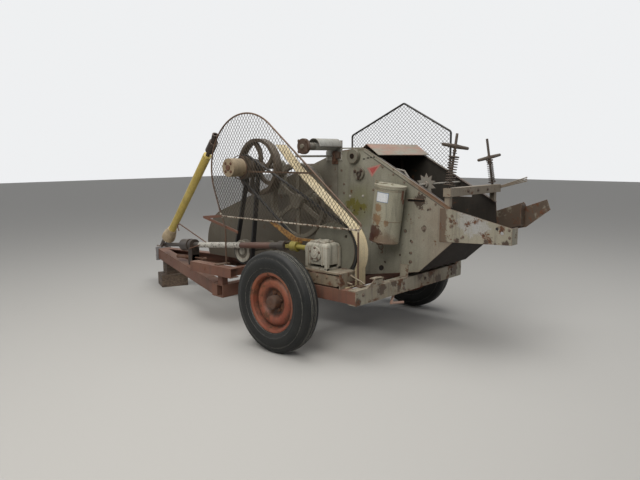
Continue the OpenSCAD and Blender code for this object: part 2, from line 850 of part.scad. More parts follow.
module gear_wheel() {
    color("dimgray") {
        across(gear_x, gear_y, gear_z) {
            difference() {
                cylinder(h = gear_w, d = gear_d);
                translate([0, 0, -1]) cylinder(h = gear_w + 2, d = gear_d - 70);
            }
            translate([0, 0, -10]) cylinder(h = gear_w + 20, d = 120);
            for (i = [0 : 5]) rotate([0, 0, i * 60]) translate([50, -18, gear_w / 2 - 8])
                cube([gear_d / 2 - 80, 36, 16]);
        }
        across(gear_x, gear_y, gear_z) cylinder(h = left_x - gear_x - 1, d = shaft_d);
    }
}

module drive_disc() {
    color("gray") {
        difference() {
            across(disc_x - sheave_w / 2, disc_y, disc_z) cylinder(h = sheave_w, d = disc_d);
            across(disc_x - sheave_w, disc_y - 120, disc_z + 105) cylinder(h = 2 * sheave_w, d = 24);
        }
        across(box_x + box_w - 58, disc_y, disc_z)
            cylinder(h = disc_x - box_x - box_w + 58, d = shaft_d);
    }
}

// A belt round two pulleys, in the plane of y and z
module belt_loop(a, b) {
    difference() {
        chain_area([a, b], -gap - belt_t);
        chain_area([a, b], -gap);
    }
}
fly_ring = [[fly_y, fly_z], fly_pulley_d / 2];
pulley_ring = [[pulley_y, pulley_z], pulley_d / 2];
disc_ring = [[disc_y, disc_z], disc_d / 2];
sheave_ring = [[fly_y, fly_z], sheave_d / 2];

module belts() {
    color("black") {
        for (side = [-1, 1])
            upright(belt_x + side * (belt_w + 2) / 2 - belt_w / 2, belt_w)
                belt_loop(fly_ring, pulley_ring);
        upright(disc_x - belt_w / 2, belt_w) belt_loop(disc_ring, sheave_ring);
    }
}

// The oblique drive shaft with its clutch, held by the bearing stand
module drive_shaft() {
    s = on_drive(stand_y);
    color("saddlebrown") {
        bar(drive_front + drive_u * 24, drive_rear - drive_u * 60, shaft_d);
        bar(drive_front + drive_u * 24, drive_front + drive_u * 60, 52);
        bar(s - drive_u * 210, s - drive_u * 52, 120);
        bar(s + drive_u * 42, drive_rear - drive_u * 120, drive_d);
        bar(drive_rear - drive_u * 120, drive_rear - drive_u * 40, 76);
        in_frame(drive_rear, [0, drive_u[2], -drive_u[1]] / norm([drive_u[1], drive_u[2]]), drive_u)
            for (x = [-32, 22]) translate([x, -13, -41]) cube([10, 26, 54]);
    }
}

// The short shaft between the gearbox and the universal joint
module input_stub() {
    color("olive") {
        translate([stub_x, box_y + box_len - 58, disc_z]) rotate([-90, 0, 0])
            cylinder(h = drive_rear[1] - box_y - box_len + 58 - 32, d = shaft_d);
        translate([stub_x, drive_rear[1] - 90, disc_z]) rotate([-90, 0, 0]) cylinder(h = 64, d = 76);
        // the joint's cross, carried between the yoke's ears
        translate([stub_x, drive_rear[1] - 24, disc_z]) rotate([-90, 0, 0]) cylinder(h = 40, d = 30);
        across(stub_x - 23, drive_rear[1], disc_z) cylinder(h = 46, d = 16);
        for (x = [stub_x - 32, stub_x + 22])
            translate([x, drive_rear[1] - 28, disc_z - 13]) cube([10, 42, 26]);
    }
}

// The folded input shaft, which leans back on the left guard
input_top = [-550.2, 428.2, 1530];
input_u = (input_top - drive_front) / norm(input_top - drive_front);
swing = cross(input_u, drive_u);
swing_u = swing / norm(swing);
function on_input(t) = drive_front + input_u * t;

// The free yoke hangs a little bent at the top joint
top_v = input_u + [0, 0.214, 0.13];
top_u = top_v / norm(top_v);
top_at = on_input(input_len - 90);

module input_tube() {
    color("goldenrod") bar(on_input(316), on_input(input_len - 262), tube_d);
}
module input_cone() {
    color("peru") {
        along(on_input(150), input_u) cylinder(h = 166 - gap, d1 = cone_d, d2 = tube_d + 14);
        for (k = [0 : 3]) along(on_input(166 + k * 22), input_u)
            cylinder(h = 10, d = cone_d - 1 - k * 6);
    }
}
module input_yokes() {
    color("black") {
        bar(on_input(120), on_input(150 - gap), 96);
        bar(drive_front - swing_u * 44, drive_front + swing_u * 44, 20);
        bar(drive_front - swing_u * 17, drive_front + swing_u * 17, 36);
        in_frame(drive_front, swing_u, input_u) for (x = [-46, 34])
            translate([x, -20, -16]) cube([12, 40, 140]);
        bar(on_input(input_len - 262 + gap), on_input(input_len - 199), 36);
        bar(on_input(input_len - 200), on_input(input_len - 80), 80);
        difference() {
            bar(top_at, top_at + top_u * 90, 54);
            bar(top_at + top_u * 20, top_at + top_u * 91, 35);
        }
    }
}

module top_housing() {
    color("gray") {
        across(-470, -590, 1490) cylinder(h = left_x - rail_wall + 470, d = 60);
        across(-490, -590, 1490) cylinder(h = 24, d = 120);
        // bracket on the side plate
        upright(left_x - rail_wall, rail_wall)
            polygon([[-650, 1380], [-480, 1380], [-480, 1450], [-550, 1540], [-650, 1540]]);
        across(-370, -590, 1490) difference() {
            cylinder(h = left_x - rail_wall + 370, d = 126);
            translate([0, 0, -1]) cylinder(h = 400, d = 118);
            translate([0, -100, -1]) cube([200, 200, 400]);
        }
        for (y = [-550, -505])
            across(-480, y, 1415) cylinder(h = left_x - rail_wall + 481, d = 16);
    }
}

can_c = [left_x - can_d / 2 - gap, -1205];
can_z = 780;
hinge_x = left_x - 20;
module on_can() {
    translate([can_c[0], can_c[1], can_z + can_h]) rotate([can_lean, 0, 0]) translate([0, 0, -can_h])
        children();
}
module twine_can() {
    color("beige") {
        on_can() difference() {
            cylinder(h = can_h, d = can_d);
            translate([0, 0, 4]) cylinder(h = can_h, d = can_d - 8);
        }
        // eye that the twine leaves by
        on_can() translate([-20, 36, -16]) rotate([0, 90, 0]) difference() {
            cylinder(h = 9, d = 46);
            translate([0, 0, -1]) cylinder(h = 11, d = 30);
        }
    }
}
module can_lid() {
    color("beige") on_can() translate([0, 0, can_h + gap]) intersection() {
        cylinder(h = 10, d = can_d + 14);
        translate([-can_d, -can_d, 0]) cube([can_d + hinge_x - can_c[0], 2 * can_d, 10]);
    }
}

module crank_handle() {
    color("rosybrown") {
        bar([-240, rear_y + 30, beam_z - 8.4], [-300, rear_y + 5, 352], 20);
        bar([-306, rear_y + 5, 349], [-160, rear_y - 5, 330], 20);
    }
}

rear_beam();
rails();
outriggers();
cross_beam();
drawbar();
hitch_plate();
blocks();
axle();
rim_left();
tyre_left();
rim_right();
tyre_right();
side_plate_left();
side_plate_right();
front_cover();
floor();
hood();
exit_rails();
ram();
tension_beam();
spindles();
springs();
guard_frame_left();
guard_mesh_left();
guard_stays();
belt_guard();
guard_frame_right();
guard_mesh_right();
gearbox();
gearbox_bracket();
bearings();
bearing_stand();
flywheel();
lower_pulley();
gear_wheel();
drive_disc();
belts();
drive_shaft();
input_stub();
input_tube();
input_cone();
input_yokes();
top_housing();
twine_can();
can_lid();
crank_handle();
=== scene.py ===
import bmesh
import bpy
from math import acos, atan2, cos, degrees, pi, radians, sin, sqrt
from mathutils import Matrix, Vector


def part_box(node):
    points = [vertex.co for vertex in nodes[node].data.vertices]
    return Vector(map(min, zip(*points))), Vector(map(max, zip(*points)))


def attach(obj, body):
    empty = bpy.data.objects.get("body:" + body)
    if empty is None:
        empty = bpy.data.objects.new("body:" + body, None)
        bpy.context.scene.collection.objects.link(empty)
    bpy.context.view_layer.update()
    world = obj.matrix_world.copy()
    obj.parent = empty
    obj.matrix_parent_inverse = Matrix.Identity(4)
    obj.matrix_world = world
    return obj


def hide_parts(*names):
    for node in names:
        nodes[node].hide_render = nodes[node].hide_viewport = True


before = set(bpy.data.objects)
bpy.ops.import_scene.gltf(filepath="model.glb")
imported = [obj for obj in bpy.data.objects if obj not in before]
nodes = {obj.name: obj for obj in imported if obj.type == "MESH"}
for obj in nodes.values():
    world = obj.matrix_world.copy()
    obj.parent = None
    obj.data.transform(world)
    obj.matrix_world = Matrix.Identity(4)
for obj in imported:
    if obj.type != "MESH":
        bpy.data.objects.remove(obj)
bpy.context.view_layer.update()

# The view, the floor and the lights. The machine stands in a pale hall and is seen
# from its rear left at eye height, under a window, a roof light and the even light of the hall.

scene = bpy.context.scene
scene.view_settings.view_transform = "Standard"


def stood(name, data):
    """Puts an object with its data into the scene."""
    thing = bpy.data.objects.new(name, data)
    scene.collection.objects.link(thing)
    return thing


def surface(name):
    """A new material and its Principled shader."""
    material = bpy.data.materials.new(name)
    material.use_nodes = True
    return material, material.node_tree.nodes["Principled BSDF"]


camera_data = bpy.data.cameras.new("camera")
camera_data.sensor_width = 36.0
camera_data.lens = 32.77
camera_data.clip_end = 100.0
eye = (-3.737, -3.701, 1.42)
turn, dip, roll = radians(47.87), radians(8.25), radians(0.18)
camera = stood("camera", camera_data)
camera.matrix_world = (
    Matrix.Translation(eye)
    @ Matrix.Rotation(-turn, 4, "Z")
    @ Matrix.Rotation(pi / 2 - dip, 4, "X")
    @ Matrix.Rotation(-roll, 4, "Z")
)
scene.camera = camera

floor_half = 30.0
floor_mesh = bmesh.new()
bmesh.ops.create_grid(floor_mesh, x_segments=1, y_segments=1, size=floor_half)
floor_data = bpy.data.meshes.new("floor_ground")
floor_mesh.to_mesh(floor_data)
floor_mesh.free()
stood("floor_ground", floor_data)
pale, pale_shader = surface("pale_floor")
pale_shader.inputs["Base Color"].default_value = (0.46, 0.45, 0.43, 1)
pale_shader.inputs["Roughness"].default_value = 0.8
floor_data.materials.append(pale)

world = bpy.data.worlds.new("hall")
scene.world = world
world.use_nodes = True
air = world.node_tree
for old in list(air.nodes):
    air.nodes.remove(old)
ray = air.nodes.new("ShaderNodeLightPath")
choose = air.nodes.new("ShaderNodeMixShader")
shown = ray.outputs["Is Camera Ray"]
for other in ("Is Glossy Ray", "Is Transmission Ray"):
    either = air.nodes.new("ShaderNodeMath")
    either.operation = "MAXIMUM"
    air.links.new(shown, either.inputs[0])
    air.links.new(ray.outputs[other], either.inputs[1])
    shown = either.outputs[0]
air.links.new(shown, choose.inputs[0])
fill_light, seen_wall = ((0.95, 0.97, 1.0, 1), 0.14), ((0.86, 0.87, 0.88, 1), 1.0)
for place, (colour, strength) in ((1, fill_light), (2, seen_wall)):
    glow = air.nodes.new("ShaderNodeBackground")
    glow.inputs["Color"].default_value = colour
    glow.inputs["Strength"].default_value = strength
    air.links.new(glow.outputs[0], choose.inputs[place])
out = air.nodes.new("ShaderNodeOutputWorld")
air.links.new(choose.outputs[0], out.inputs["Surface"])

lit_middle = Vector((0.0, 0.0, 0.7))
for name, place, size, power, colour in (
    ("window_light", (-5.0, -2.5, 4.5), 3.5, 210, (1.0, 0.97, 0.92)),
    ("roof_light", (-0.3, -0.3, 5.5), 4.0, 185, (1.0, 0.99, 0.96)),
    ("back_light", (3.5, -6.0, 3.5), 3.0, 45, (0.95, 0.97, 1.0)),
):
    lamp = bpy.data.lights.new(name, "AREA")
    lamp.shape = "SQUARE"
    lamp.size = size
    lamp.energy = power
    lamp.color = colour
    light = stood(name, lamp)
    light.location = place
    light.rotation_euler = (lit_middle - Vector(place)).to_track_quat("-Z", "Y").to_euler()

hall = bpy.data.lights.new("hall_light", "SUN")
hall.energy = 0.5
hall.angle = radians(70)
stood("hall_light", hall).rotation_euler = (radians(12), radians(-22), 0.0)

# The frame: channel rails, outriggers, cross beam, axle and the A-shaped drawbar.
# Rolled steel, welded and bolted, once painted and now mostly rust and grime. The rust, edge
# wear, dust and streaks that every old painted piece of the machine has start here.


def group_of(name, inputs, outputs):
    """An empty node group, what its named values give and what it puts out."""
    tree = bpy.data.node_groups.new(name, "ShaderNodeTree")
    for label, value in inputs:
        socket = tree.interface.new_socket(label, in_out="INPUT", socket_type="NodeSocketFloat")
        socket.default_value = value
    for label, kind in outputs:
        tree.interface.new_socket(label, in_out="OUTPUT", socket_type=kind)
    return tree, tree.nodes.new("NodeGroupInput").outputs, tree.nodes.new("NodeGroupOutput").inputs


def noise(tree, scale, detail=6.0, rough=0.6, stretch=None):
    """Noise on Object coordinates, drawn out along an axis where stretch says so."""
    cloud = tree.nodes.new("ShaderNodeTexNoise")
    cloud.inputs["Scale"].default_value = scale
    cloud.inputs["Detail"].default_value = detail
    cloud.inputs["Roughness"].default_value = rough
    source = tree.nodes.new("ShaderNodeTexCoord").outputs["Object"]
    if stretch:
        drawn = tree.nodes.new("ShaderNodeMapping")
        drawn.inputs["Scale"].default_value = stretch
        tree.links.new(source, drawn.inputs["Vector"])
        source = drawn.outputs["Vector"]
    tree.links.new(source, cloud.inputs["Vector"])
    return cloud.outputs["Fac"]


def feed(tree, socket, value):
    """Sets a socket to a number or a colour, or links it."""
    if isinstance(value, (int, float)):
        socket.default_value = value
    elif isinstance(value, tuple):
        socket.default_value = (*value, 1)
    else:
        tree.links.new(value, socket)


def remap(tree, value, low, high, to_low=0.0, to_high=1.0):
    """Spreads value from low..high to another range, cut off at its ends."""
    spread = tree.nodes.new("ShaderNodeMapRange")
    for socket, number in (("Value", value), ("From Min", low), ("From Max", high),
                           ("To Min", to_low), ("To Max", to_high)):
        feed(tree, spread.inputs[socket], number)
    return spread.outputs["Result"]


def maths(tree, how, a, b=0.0):
    """One sum of two values."""
    reckoned = tree.nodes.new("ShaderNodeMath")
    reckoned.operation = how
    feed(tree, reckoned.inputs[0], a)
    feed(tree, reckoned.inputs[1], b)
    return reckoned.outputs[0]


def times(tree, a, b):
    return maths(tree, "MULTIPLY", a, b)


def plus(tree, a, b):
    return maths(tree, "ADD", a, b)


def mixed(tree, mask, under, over):
    """One colour under another, where mask lets the upper one through."""
    mix = tree.nodes.new("ShaderNodeMix")
    mix.data_type = "RGBA"
    sockets = {socket.identifier: socket for socket in mix.inputs}
    feed(tree, sockets["Factor_Float"], mask)
    feed(tree, sockets["A_Color"], under)
    feed(tree, sockets["B_Color"], over)
    return next(o for o in mix.outputs if o.identifier == "Result_Color")


rust_group, given, made = group_of(
    "rust", [("Amount", 0.4), ("Size", 6.0)],
    [("Color", "NodeSocketColor"), ("Mask", "NodeSocketFloat"), ("Height", "NodeSocketFloat")],
)
broad = noise(rust_group, 6.0, 8.0, 0.68)
rust_group.links.new(given["Size"], broad.node.inputs["Scale"])
fine = noise(rust_group, 90.0, 5.0, 0.6)
spread = plus(rust_group, broad, times(rust_group, fine, 0.22))
edge = maths(rust_group, "SUBTRACT", 0.92, times(rust_group, given["Amount"], 0.42))
rust_mask = remap(rust_group, spread, edge, plus(rust_group, edge, 0.07))
dark_brown, warm_brown = (0.05, 0.021, 0.012), (0.135, 0.058, 0.028)
shade = mixed(rust_group, remap(rust_group, fine, 0.35, 0.65), dark_brown, warm_brown)
rust_group.links.new(shade, made["Color"])
rust_group.links.new(rust_mask, made["Mask"])
rust_group.links.new(times(rust_group, rust_mask, fine), made["Height"])

edge_group, given, made = group_of("edge wear", [("Width", 0.006)], [("Mask", "NodeSocketFloat")])
rounded = edge_group.nodes.new("ShaderNodeBevel")
rounded.samples = 4
edge_group.links.new(given["Width"], rounded.inputs["Radius"])
bend = edge_group.nodes.new("ShaderNodeVectorMath")
bend.operation = "DOT_PRODUCT"
edge_group.links.new(rounded.outputs["Normal"], bend.inputs[0])
edge_group.links.new(edge_group.nodes.new("ShaderNodeNewGeometry").outputs["Normal"], bend.inputs[1])
broken = noise(edge_group, 45.0, 6.0, 0.65)
sharp = remap(edge_group, bend.outputs["Value"], 0.985, 0.86)
edge_group.links.new(remap(edge_group, times(edge_group, sharp, broken), 0.22, 0.42), made["Mask"])

dust_group, given, made = group_of("dust", [("Amount", 0.5)], [("Mask", "NodeSocketFloat")])
facing = dust_group.nodes.new("ShaderNodeSeparateXYZ")
dust_group.links.new(dust_group.nodes.new("ShaderNodeNewGeometry").outputs["Normal"], facing.inputs[0])
lying = remap(dust_group, facing.outputs["Z"], 0.1, 0.95, 0.15, 1.0)
settled = times(dust_group, lying, remap(dust_group, noise(dust_group, 9.0, 7.0, 0.62), 0.3, 0.7))
dust_group.links.new(times(dust_group, given["Amount"], settled), made["Mask"])

streak_group, given, made = group_of("streaks", [("Amount", 0.5)], [("Mask", "NodeSocketFloat")])
run = remap(streak_group, noise(streak_group, 3.0, 6.0, 0.6, stretch=(9.0, 9.0, 0.9)), 0.5, 0.72)
streak_group.links.new(times(streak_group, given["Amount"], run), made["Mask"])


def use(tree, group, **values):
    """Places a node group in a material with its own values."""
    placed = tree.nodes.new("ShaderNodeGroup")
    placed.node_tree = group
    for name, value in values.items():
        placed.inputs[name].default_value = value
    return placed.outputs


def raised(tree, shader, height, strength, deep):
    """Lets a height show in the surface as a bump."""
    lift = tree.nodes.new("ShaderNodeBump")
    lift.inputs["Strength"].default_value = strength
    lift.inputs["Distance"].default_value = deep
    tree.links.new(height, lift.inputs["Height"])
    tree.links.new(lift.outputs["Normal"], shader.inputs["Normal"])
    return lift


def finish_of(name, base, faded, rust=0.3, size=6.0, wear=0.6, dust=0.3, streaks=0.35, rough=0.5,
              metallic=0.0, bump=0.25, grime=(0.06, 0.05, 0.04), dusty=(0.36, 0.33, 0.28), tint=None):
    """Old paint or bare steel: a faded coat with streaks, edge wear, rust and dust.
    base and faded are colours, and tint may replace the coat's colour by a socket."""
    material, shader = surface(name)
    t = material.node_tree
    under_wear, rusty_rough, edge_round = (0.16, 0.075, 0.04), 0.88, 0.0025
    speck = noise(t, 140.0, 4.0, 0.6)
    coat = mixed(t, remap(t, noise(t, 2.3, 6.0, 0.6), 0.36, 0.66), base, faded)
    if tint:
        coat = tint(t, coat)
    coat = mixed(t, remap(t, speck, 0.45, 0.8, 0.0, 0.35), coat, grime)
    coat = mixed(t, use(t, streak_group, Amount=streaks)["Mask"], coat, grime)
    worn = use(t, edge_group, Width=0.006)["Mask"]
    rusty = use(t, rust_group, Amount=rust, Size=size)
    coat = mixed(t, times(t, worn, wear), coat, under_wear)
    coat = mixed(t, rusty["Mask"], coat, rusty["Color"])
    powder = use(t, dust_group, Amount=dust)["Mask"]
    t.links.new(mixed(t, powder, coat, dusty), shader.inputs["Base Color"])
    shader.inputs["Specular IOR Level"].default_value = 0.35
    hidden = maths(t, "MAXIMUM", rusty["Mask"], powder)
    t.links.new(remap(t, hidden, 0.0, 1.0, rough, rusty_rough), shader.inputs["Roughness"])
    if metallic:
        t.links.new(remap(t, hidden, 0.0, 1.0, metallic, 0.0), shader.inputs["Metallic"])
    lift = raised(t, shader, plus(t, rusty["Height"], times(t, speck, 0.35)), bump, 0.0025)
    soft = t.nodes.new("ShaderNodeBevel")
    soft.samples = 4
    soft.inputs["Radius"].default_value = edge_round
    t.links.new(soft.outputs["Normal"], lift.inputs["Normal"])
    return material


def coat_node(material, *names):
    """Gives solids of the frame their finish."""
    for name in names:
        nodes[name].data.materials.clear()
        nodes[name].data.materials.append(material)


def piece(name, bm, material, body="machine", smooth=True, replaces=()):
    """Makes a modelled mesh one piece of the machine, which rides on its body."""
    data = bpy.data.meshes.new(name)
    bm.to_mesh(data)
    bm.free()
    data.materials.append(material)
    if smooth:
        data.shade_smooth()
        data.set_sharp_from_angle(angle=radians(32))
    thing = stood(name, data)
    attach(thing, body)
    if replaces:
        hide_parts(*replaces)


frame_red = finish_of("rusty_frame", (0.13, 0.05, 0.033), (0.185, 0.09, 0.06), rust=0.46, size=7.0,
                      wear=0.35, dust=0.35, streaks=0.45, rough=0.62, dusty=(0.3, 0.23, 0.17))
coat_node(frame_red, "rails", "outriggers", "cross_beam", "drawbar", "axle")


def away_from(tree, spot):
    """How far a place on the surface lies from a spot."""
    apart = tree.nodes.new("ShaderNodeVectorMath")
    apart.operation = "DISTANCE"
    tree.links.new(tree.nodes.new("ShaderNodeTexCoord").outputs["Object"], apart.inputs[0])
    apart.inputs[1].default_value = spot
    return apart.outputs["Value"]


def blots(t, coat, places, colour, strength=0.9, ragged=4.0):
    """Ragged stains of one colour round named places, each with its radius."""
    torn = maths(t, "SUBTRACT", noise(t, 26.0, 10.0, 0.8), 0.5)
    for *spot, radius in places:
        edge_at = plus(t, away_from(t, spot), times(t, torn, radius * ragged))
        near = remap(t, edge_at, radius * 1.1, radius * 0.9)
        coat = mixed(t, times(t, near, strength), coat, colour)
    return coat


beam_y, beam_top = -1.3, 0.508
beam_torn = [(-0.276, 0.5, 0.035), (-0.211, 0.45, 0.03), (-0.43, 0.47, 0.045), (0.073, 0.5, 0.04),
             (0.233, 0.5, 0.05), (-0.7, 0.43, 0.035), (0.35, 0.43, 0.04), (0.6, 0.47, 0.05)]


def beam_rust(t, coat):
    """Torn and rusted places along the rear beam."""
    return blots(t, coat, [(x, beam_y, z, radius) for x, z, radius in beam_torn], (0.055, 0.03, 0.018))


beam_paint = finish_of("worn_beam_paint", (0.29, 0.27, 0.21), (0.185, 0.135, 0.085), rust=0.62, size=11.0,
                       wear=0.8, dust=0.3, streaks=0.6, rough=0.55, tint=beam_rust)
coat_node(beam_paint, "rear_beam", "gearbox_bracket")

bolt_steel = finish_of("bolt_steel", (0.1, 0.085, 0.07), (0.17, 0.14, 0.11), rust=0.5, size=30.0,
                       wear=0.5, dust=0.15, rough=0.5)
weld_grey = finish_of("weld_bead", (0.085, 0.045, 0.03), (0.13, 0.07, 0.045), rust=0.6, size=30.0,
                      wear=0.3, dust=0.2, rough=0.6)


def seated(bm, part, place, facing):
    """Puts a new part at a place, with its own Z axis looking the way that facing points."""
    turned = Vector(facing).to_track_quat("Z", "Y").to_matrix().to_4x4()
    bmesh.ops.transform(bm, verts=part["verts"], matrix=Matrix.Translation(place) @ turned)


def barrel(bm, place, facing, sides, radius, tip_radius, deep, foot=0.0):
    """A round or many-sided bar, whose middle lies foot from a place, the way it faces."""
    bar = bmesh.ops.create_cone(bm, cap_ends=True, segments=sides, radius1=radius, radius2=tip_radius,
                                depth=deep)
    bmesh.ops.translate(bm, verts=bar["verts"], vec=(0, 0, foot))
    seated(bm, bar, place, facing)


def bolt(bm, place, facing, size=0.009):
    """A hexagon head on a washer."""
    for sides, radius, foot, high in ((20, size * 1.65, 0.0, 0.002), (6, size, 0.002, size * 0.8)):
        barrel(bm, place, facing, sides, radius, radius * 0.93, high, foot + high / 2)


def block(bm, low, high):
    """A square-edged bar or plate between two corners."""
    low, high = Vector(low), Vector(high)
    cube = bmesh.ops.create_cube(bm, size=1.0)
    bmesh.ops.scale(bm, verts=cube["verts"], vec=high - low)
    bmesh.ops.translate(bm, verts=cube["verts"], vec=(low + high) / 2)


def grown_by(bm, faces, way):
    """Draws flat faces out into a plate of some thickness."""
    grown = bmesh.ops.extrude_face_region(bm, geom=faces)
    moved = [g for g in grown["geom"] if isinstance(g, bmesh.types.BMVert)]
    bmesh.ops.translate(bm, verts=moved, vec=way)


def plate(bm, outline, across, low, high):
    """A flat plate cut to an outline, across X or Y from low to high."""
    at_low = {"x": lambda a, b: (low, a, b), "y": lambda a, b: (a, low, b)}[across]
    way = {"x": (high - low, 0, 0), "y": (0, high - low, 0)}[across]
    grown_by(bm, [bm.faces.new([bm.verts.new(at_low(a, b)) for a, b in outline])], way)
    bmesh.ops.recalc_face_normals(bm, faces=bm.faces)


def weld(bm, a, b, radius=0.0045):
    """A welder's bead of overlapping drops from a to b."""
    a, b = Vector(a), Vector(b)
    count = max(2, int((b - a).length / (radius * 1.5)))
    for k in range(count + 1):
        drop = bmesh.ops.create_icosphere(bm, subdivisions=1, radius=radius)
        bmesh.ops.translate(bm, verts=drop["verts"], vec=a + (b - a) * k / count)


bm = bmesh.new()
rail_out, rail_wide, rail_low, rail_high, front_rail_high = 0.72, 0.084, 0.41, 0.5, 0.492
weld_in, rail_lip = 0.012, 0.006
for side in (-1, 1):
    x = side * (rail_out - rail_wide)
    for y in (-0.59, -0.53, 0.06, 0.12):
        top = rail_high if y < 0 else front_rail_high
        weld(bm, (x, y, rail_low + weld_in), (x, y, top - weld_in))
    x = side * (rail_out - rail_lip)
    weld(bm, (x, -1.23, rail_low), (x, -1.23, rail_high))
for x in (-0.098, -0.09, 0.624, 0.632):
    weld(bm, (x, beam_y + 0.004, beam_top), (x, beam_y + 0.066, beam_top), 0.004)
piece("frame_welds", bm, weld_grey)

bm = bmesh.new()
gusset = [(-0.59, beam_top), (-0.42, beam_top), (-0.405, 0.556), (-0.497, 0.564)]
plate(bm, gusset, "y", beam_y + 0.002, beam_y + 0.008)
block(bm, (-0.5, beam_y + 0.002, 0.553), (-0.4, beam_y + 0.055, 0.559))
piece("beam_gusset", bm, beam_paint, smooth=False)

bm = bmesh.new()
for x, z in ((-0.64, 0.47), (-0.15, 0.47), (-0.15, 0.435), (0.15, 0.462), (0.56, 0.47), (0.56, 0.435)):
    bolt(bm, (x, beam_y, z), (0, -1, 0))
for y in (-1.15, -0.98, -0.83):
    bolt(bm, (-0.69, y, 0.598), (0, 0, 1), 0.008)
piece("beam_bolts", bm, bolt_steel)

# The hitch: a plate at the point of the drawbar, held by four bolts.
# Steel worn bare and grey where the tractor's pin rubs on it.

hitch_grey = finish_of("hitch_grey", (0.2, 0.21, 0.23), (0.3, 0.3, 0.3), rust=0.35, size=14.0,
                       wear=0.8, dust=0.2, rough=0.45)
coat_node(hitch_grey, "hitch_plate")

hitch_low, hitch_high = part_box("hitch_plate")
hitch_middle = (hitch_low.x + hitch_high.x) / 2
bm = bmesh.new()
for y in (0.065, 0.025):
    for x in (-0.035, 0.035):
        bolt(bm, (hitch_middle + x, hitch_low.y + y, hitch_high.z), (0, 0, 1), 0.01)
piece("hitch_bolts", bm, bolt_steel)

# The blocks under the drawbar: sawn hardwood offcuts, dark and weathered,
# one flat on the floor and a smaller one standing on it.

wood, shader = surface("dark_wood")
t = wood.node_tree
grain = noise(t, 9.0, 8.0, 0.7, stretch=(1.5, 12.0, 12.0))
rings = noise(t, 3.0, 3.0, 0.5, stretch=(0.8, 5.0, 5.0))
tone = mixed(t, remap(t, grain, 0.3, 0.7), (0.045, 0.03, 0.021), (0.19, 0.135, 0.095))
tone = mixed(t, remap(t, rings, 0.42, 0.6, 0.0, 0.6), tone, (0.028, 0.02, 0.016))
t.links.new(tone, shader.inputs["Base Color"])
shader.inputs["Roughness"].default_value = 0.85
raised(t, shader, grain, 0.7, 0.004)
coat_node(wood, "blocks")

# The two wheels: ribbed farm tyres on pressed steel rims with five nuts.
# Black rubber gone grey with dust, rims in faded orange-red, hubs brown with grease.

rubber, shader = surface("dusty_rubber")
t = rubber.node_tree
cloud = noise(t, 7.0, 7.0, 0.6)
speck = noise(t, 160.0, 4.0, 0.6)
tone = mixed(t, remap(t, cloud, 0.35, 0.7), (0.006, 0.007, 0.007), (0.018, 0.018, 0.017))
tone = mixed(t, remap(t, speck, 0.5, 0.75, 0.0, 0.4), tone, (0.05, 0.046, 0.04))
# The pale colour along the tread's edges is partly rubbed wear and partly a painted highlight on the rib
# edges.
tone = mixed(t, times(t, use(t, edge_group, Width=0.01)["Mask"], 0.9), tone, (0.26, 0.25, 0.22))
tone = mixed(t, use(t, dust_group, Amount=0.12)["Mask"], tone, (0.13, 0.12, 0.105))
t.links.new(tone, shader.inputs["Base Color"])
shader.inputs["Specular IOR Level"].default_value = 0.25
t.links.new(remap(t, cloud, 0.3, 0.7, 0.42, 0.68), shader.inputs["Roughness"])
raised(t, shader, speck, 0.25, 0.0015)

wheel_x, wheel_y, wheel_z = 0.892, -0.7, 0.372


def axes(tree):
    """Object coordinates, each by itself."""
    apart = tree.nodes.new("ShaderNodeSeparateXYZ")
    tree.links.new(tree.nodes.new("ShaderNodeTexCoord").outputs["Object"], apart.inputs[0])
    return apart.outputs


def rim_grease_and_well_shade(t, coat):
    """The rim darkens with grease round the hub, and painted shade darkens its well."""
    at = axes(t)
    y, z = maths(t, "SUBTRACT", at["Y"], wheel_y), maths(t, "SUBTRACT", at["Z"], wheel_z)
    out = maths(t, "SQRT", plus(t, times(t, y, y), times(t, z, z)))
    uneven = maths(t, "SUBTRACT", noise(t, 22.0, 6.0, 0.7), 0.5)
    ragged = plus(t, out, times(t, uneven, 0.05))
    coat = mixed(t, remap(t, ragged, 0.116, 0.094, 0.0, 0.92), coat, (0.035, 0.018, 0.012))
    # The dark ring in the rim's well is painted shade.
    well = times(t, remap(t, ragged, 0.158, 0.172), remap(t, ragged, 0.196, 0.184))
    return mixed(t, times(t, well, 0.85), coat, (0.055, 0.022, 0.014))


rim_red = finish_of("rim_red", (0.175, 0.036, 0.019), (0.27, 0.09, 0.04), rust=0.66, size=13.0,
                    wear=0.8, dust=0.12, streaks=0.35, rough=0.5, tint=rim_grease_and_well_shade)
hub_brown = finish_of("hub_brown", (0.06, 0.028, 0.018), (0.095, 0.045, 0.028), rust=0.7, size=16.0,
                      wear=0.4, dust=0.2, rough=0.65)


def spun(profile, steps, closed=True):
    """A round piece about the X axis from pairs of place along the axis and radius."""
    bm = bmesh.new()
    verts = [bm.verts.new((x, 0.0, r)) for x, r in profile]
    for a, b in zip(verts, verts[1:] + verts[:1] if closed else verts[1:]):
        bm.edges.new((a, b))
    bmesh.ops.spin(bm, geom=bm.verts[:] + bm.edges[:], cent=(0, 0, 0), axis=(1, 0, 0),
                   angle=2 * pi, steps=steps, use_merge=True)
    bmesh.ops.remove_doubles(bm, verts=bm.verts, dist=1e-6)
    bmesh.ops.recalc_face_normals(bm, faces=bm.faces)
    return bm


def join(bm, part):
    """Adds a part that was modelled by itself."""
    held = bpy.data.meshes.new("held")
    part.to_mesh(held)
    part.free()
    bm.from_mesh(held)
    bpy.data.meshes.remove(held)


def arc(cx, cy, r, a0, a1, n):
    """Points on a bend of a profile."""
    turns = [radians(a0 + (a1 - a0) * k / n) for k in range(n + 1)]
    return [(cx + r * cos(a), cy + r * sin(a)) for a in turns]


def mirrored(profile):
    """The same profile on the other side of the wheel's middle."""
    return [(-x, r) for x, r in reversed(profile)]


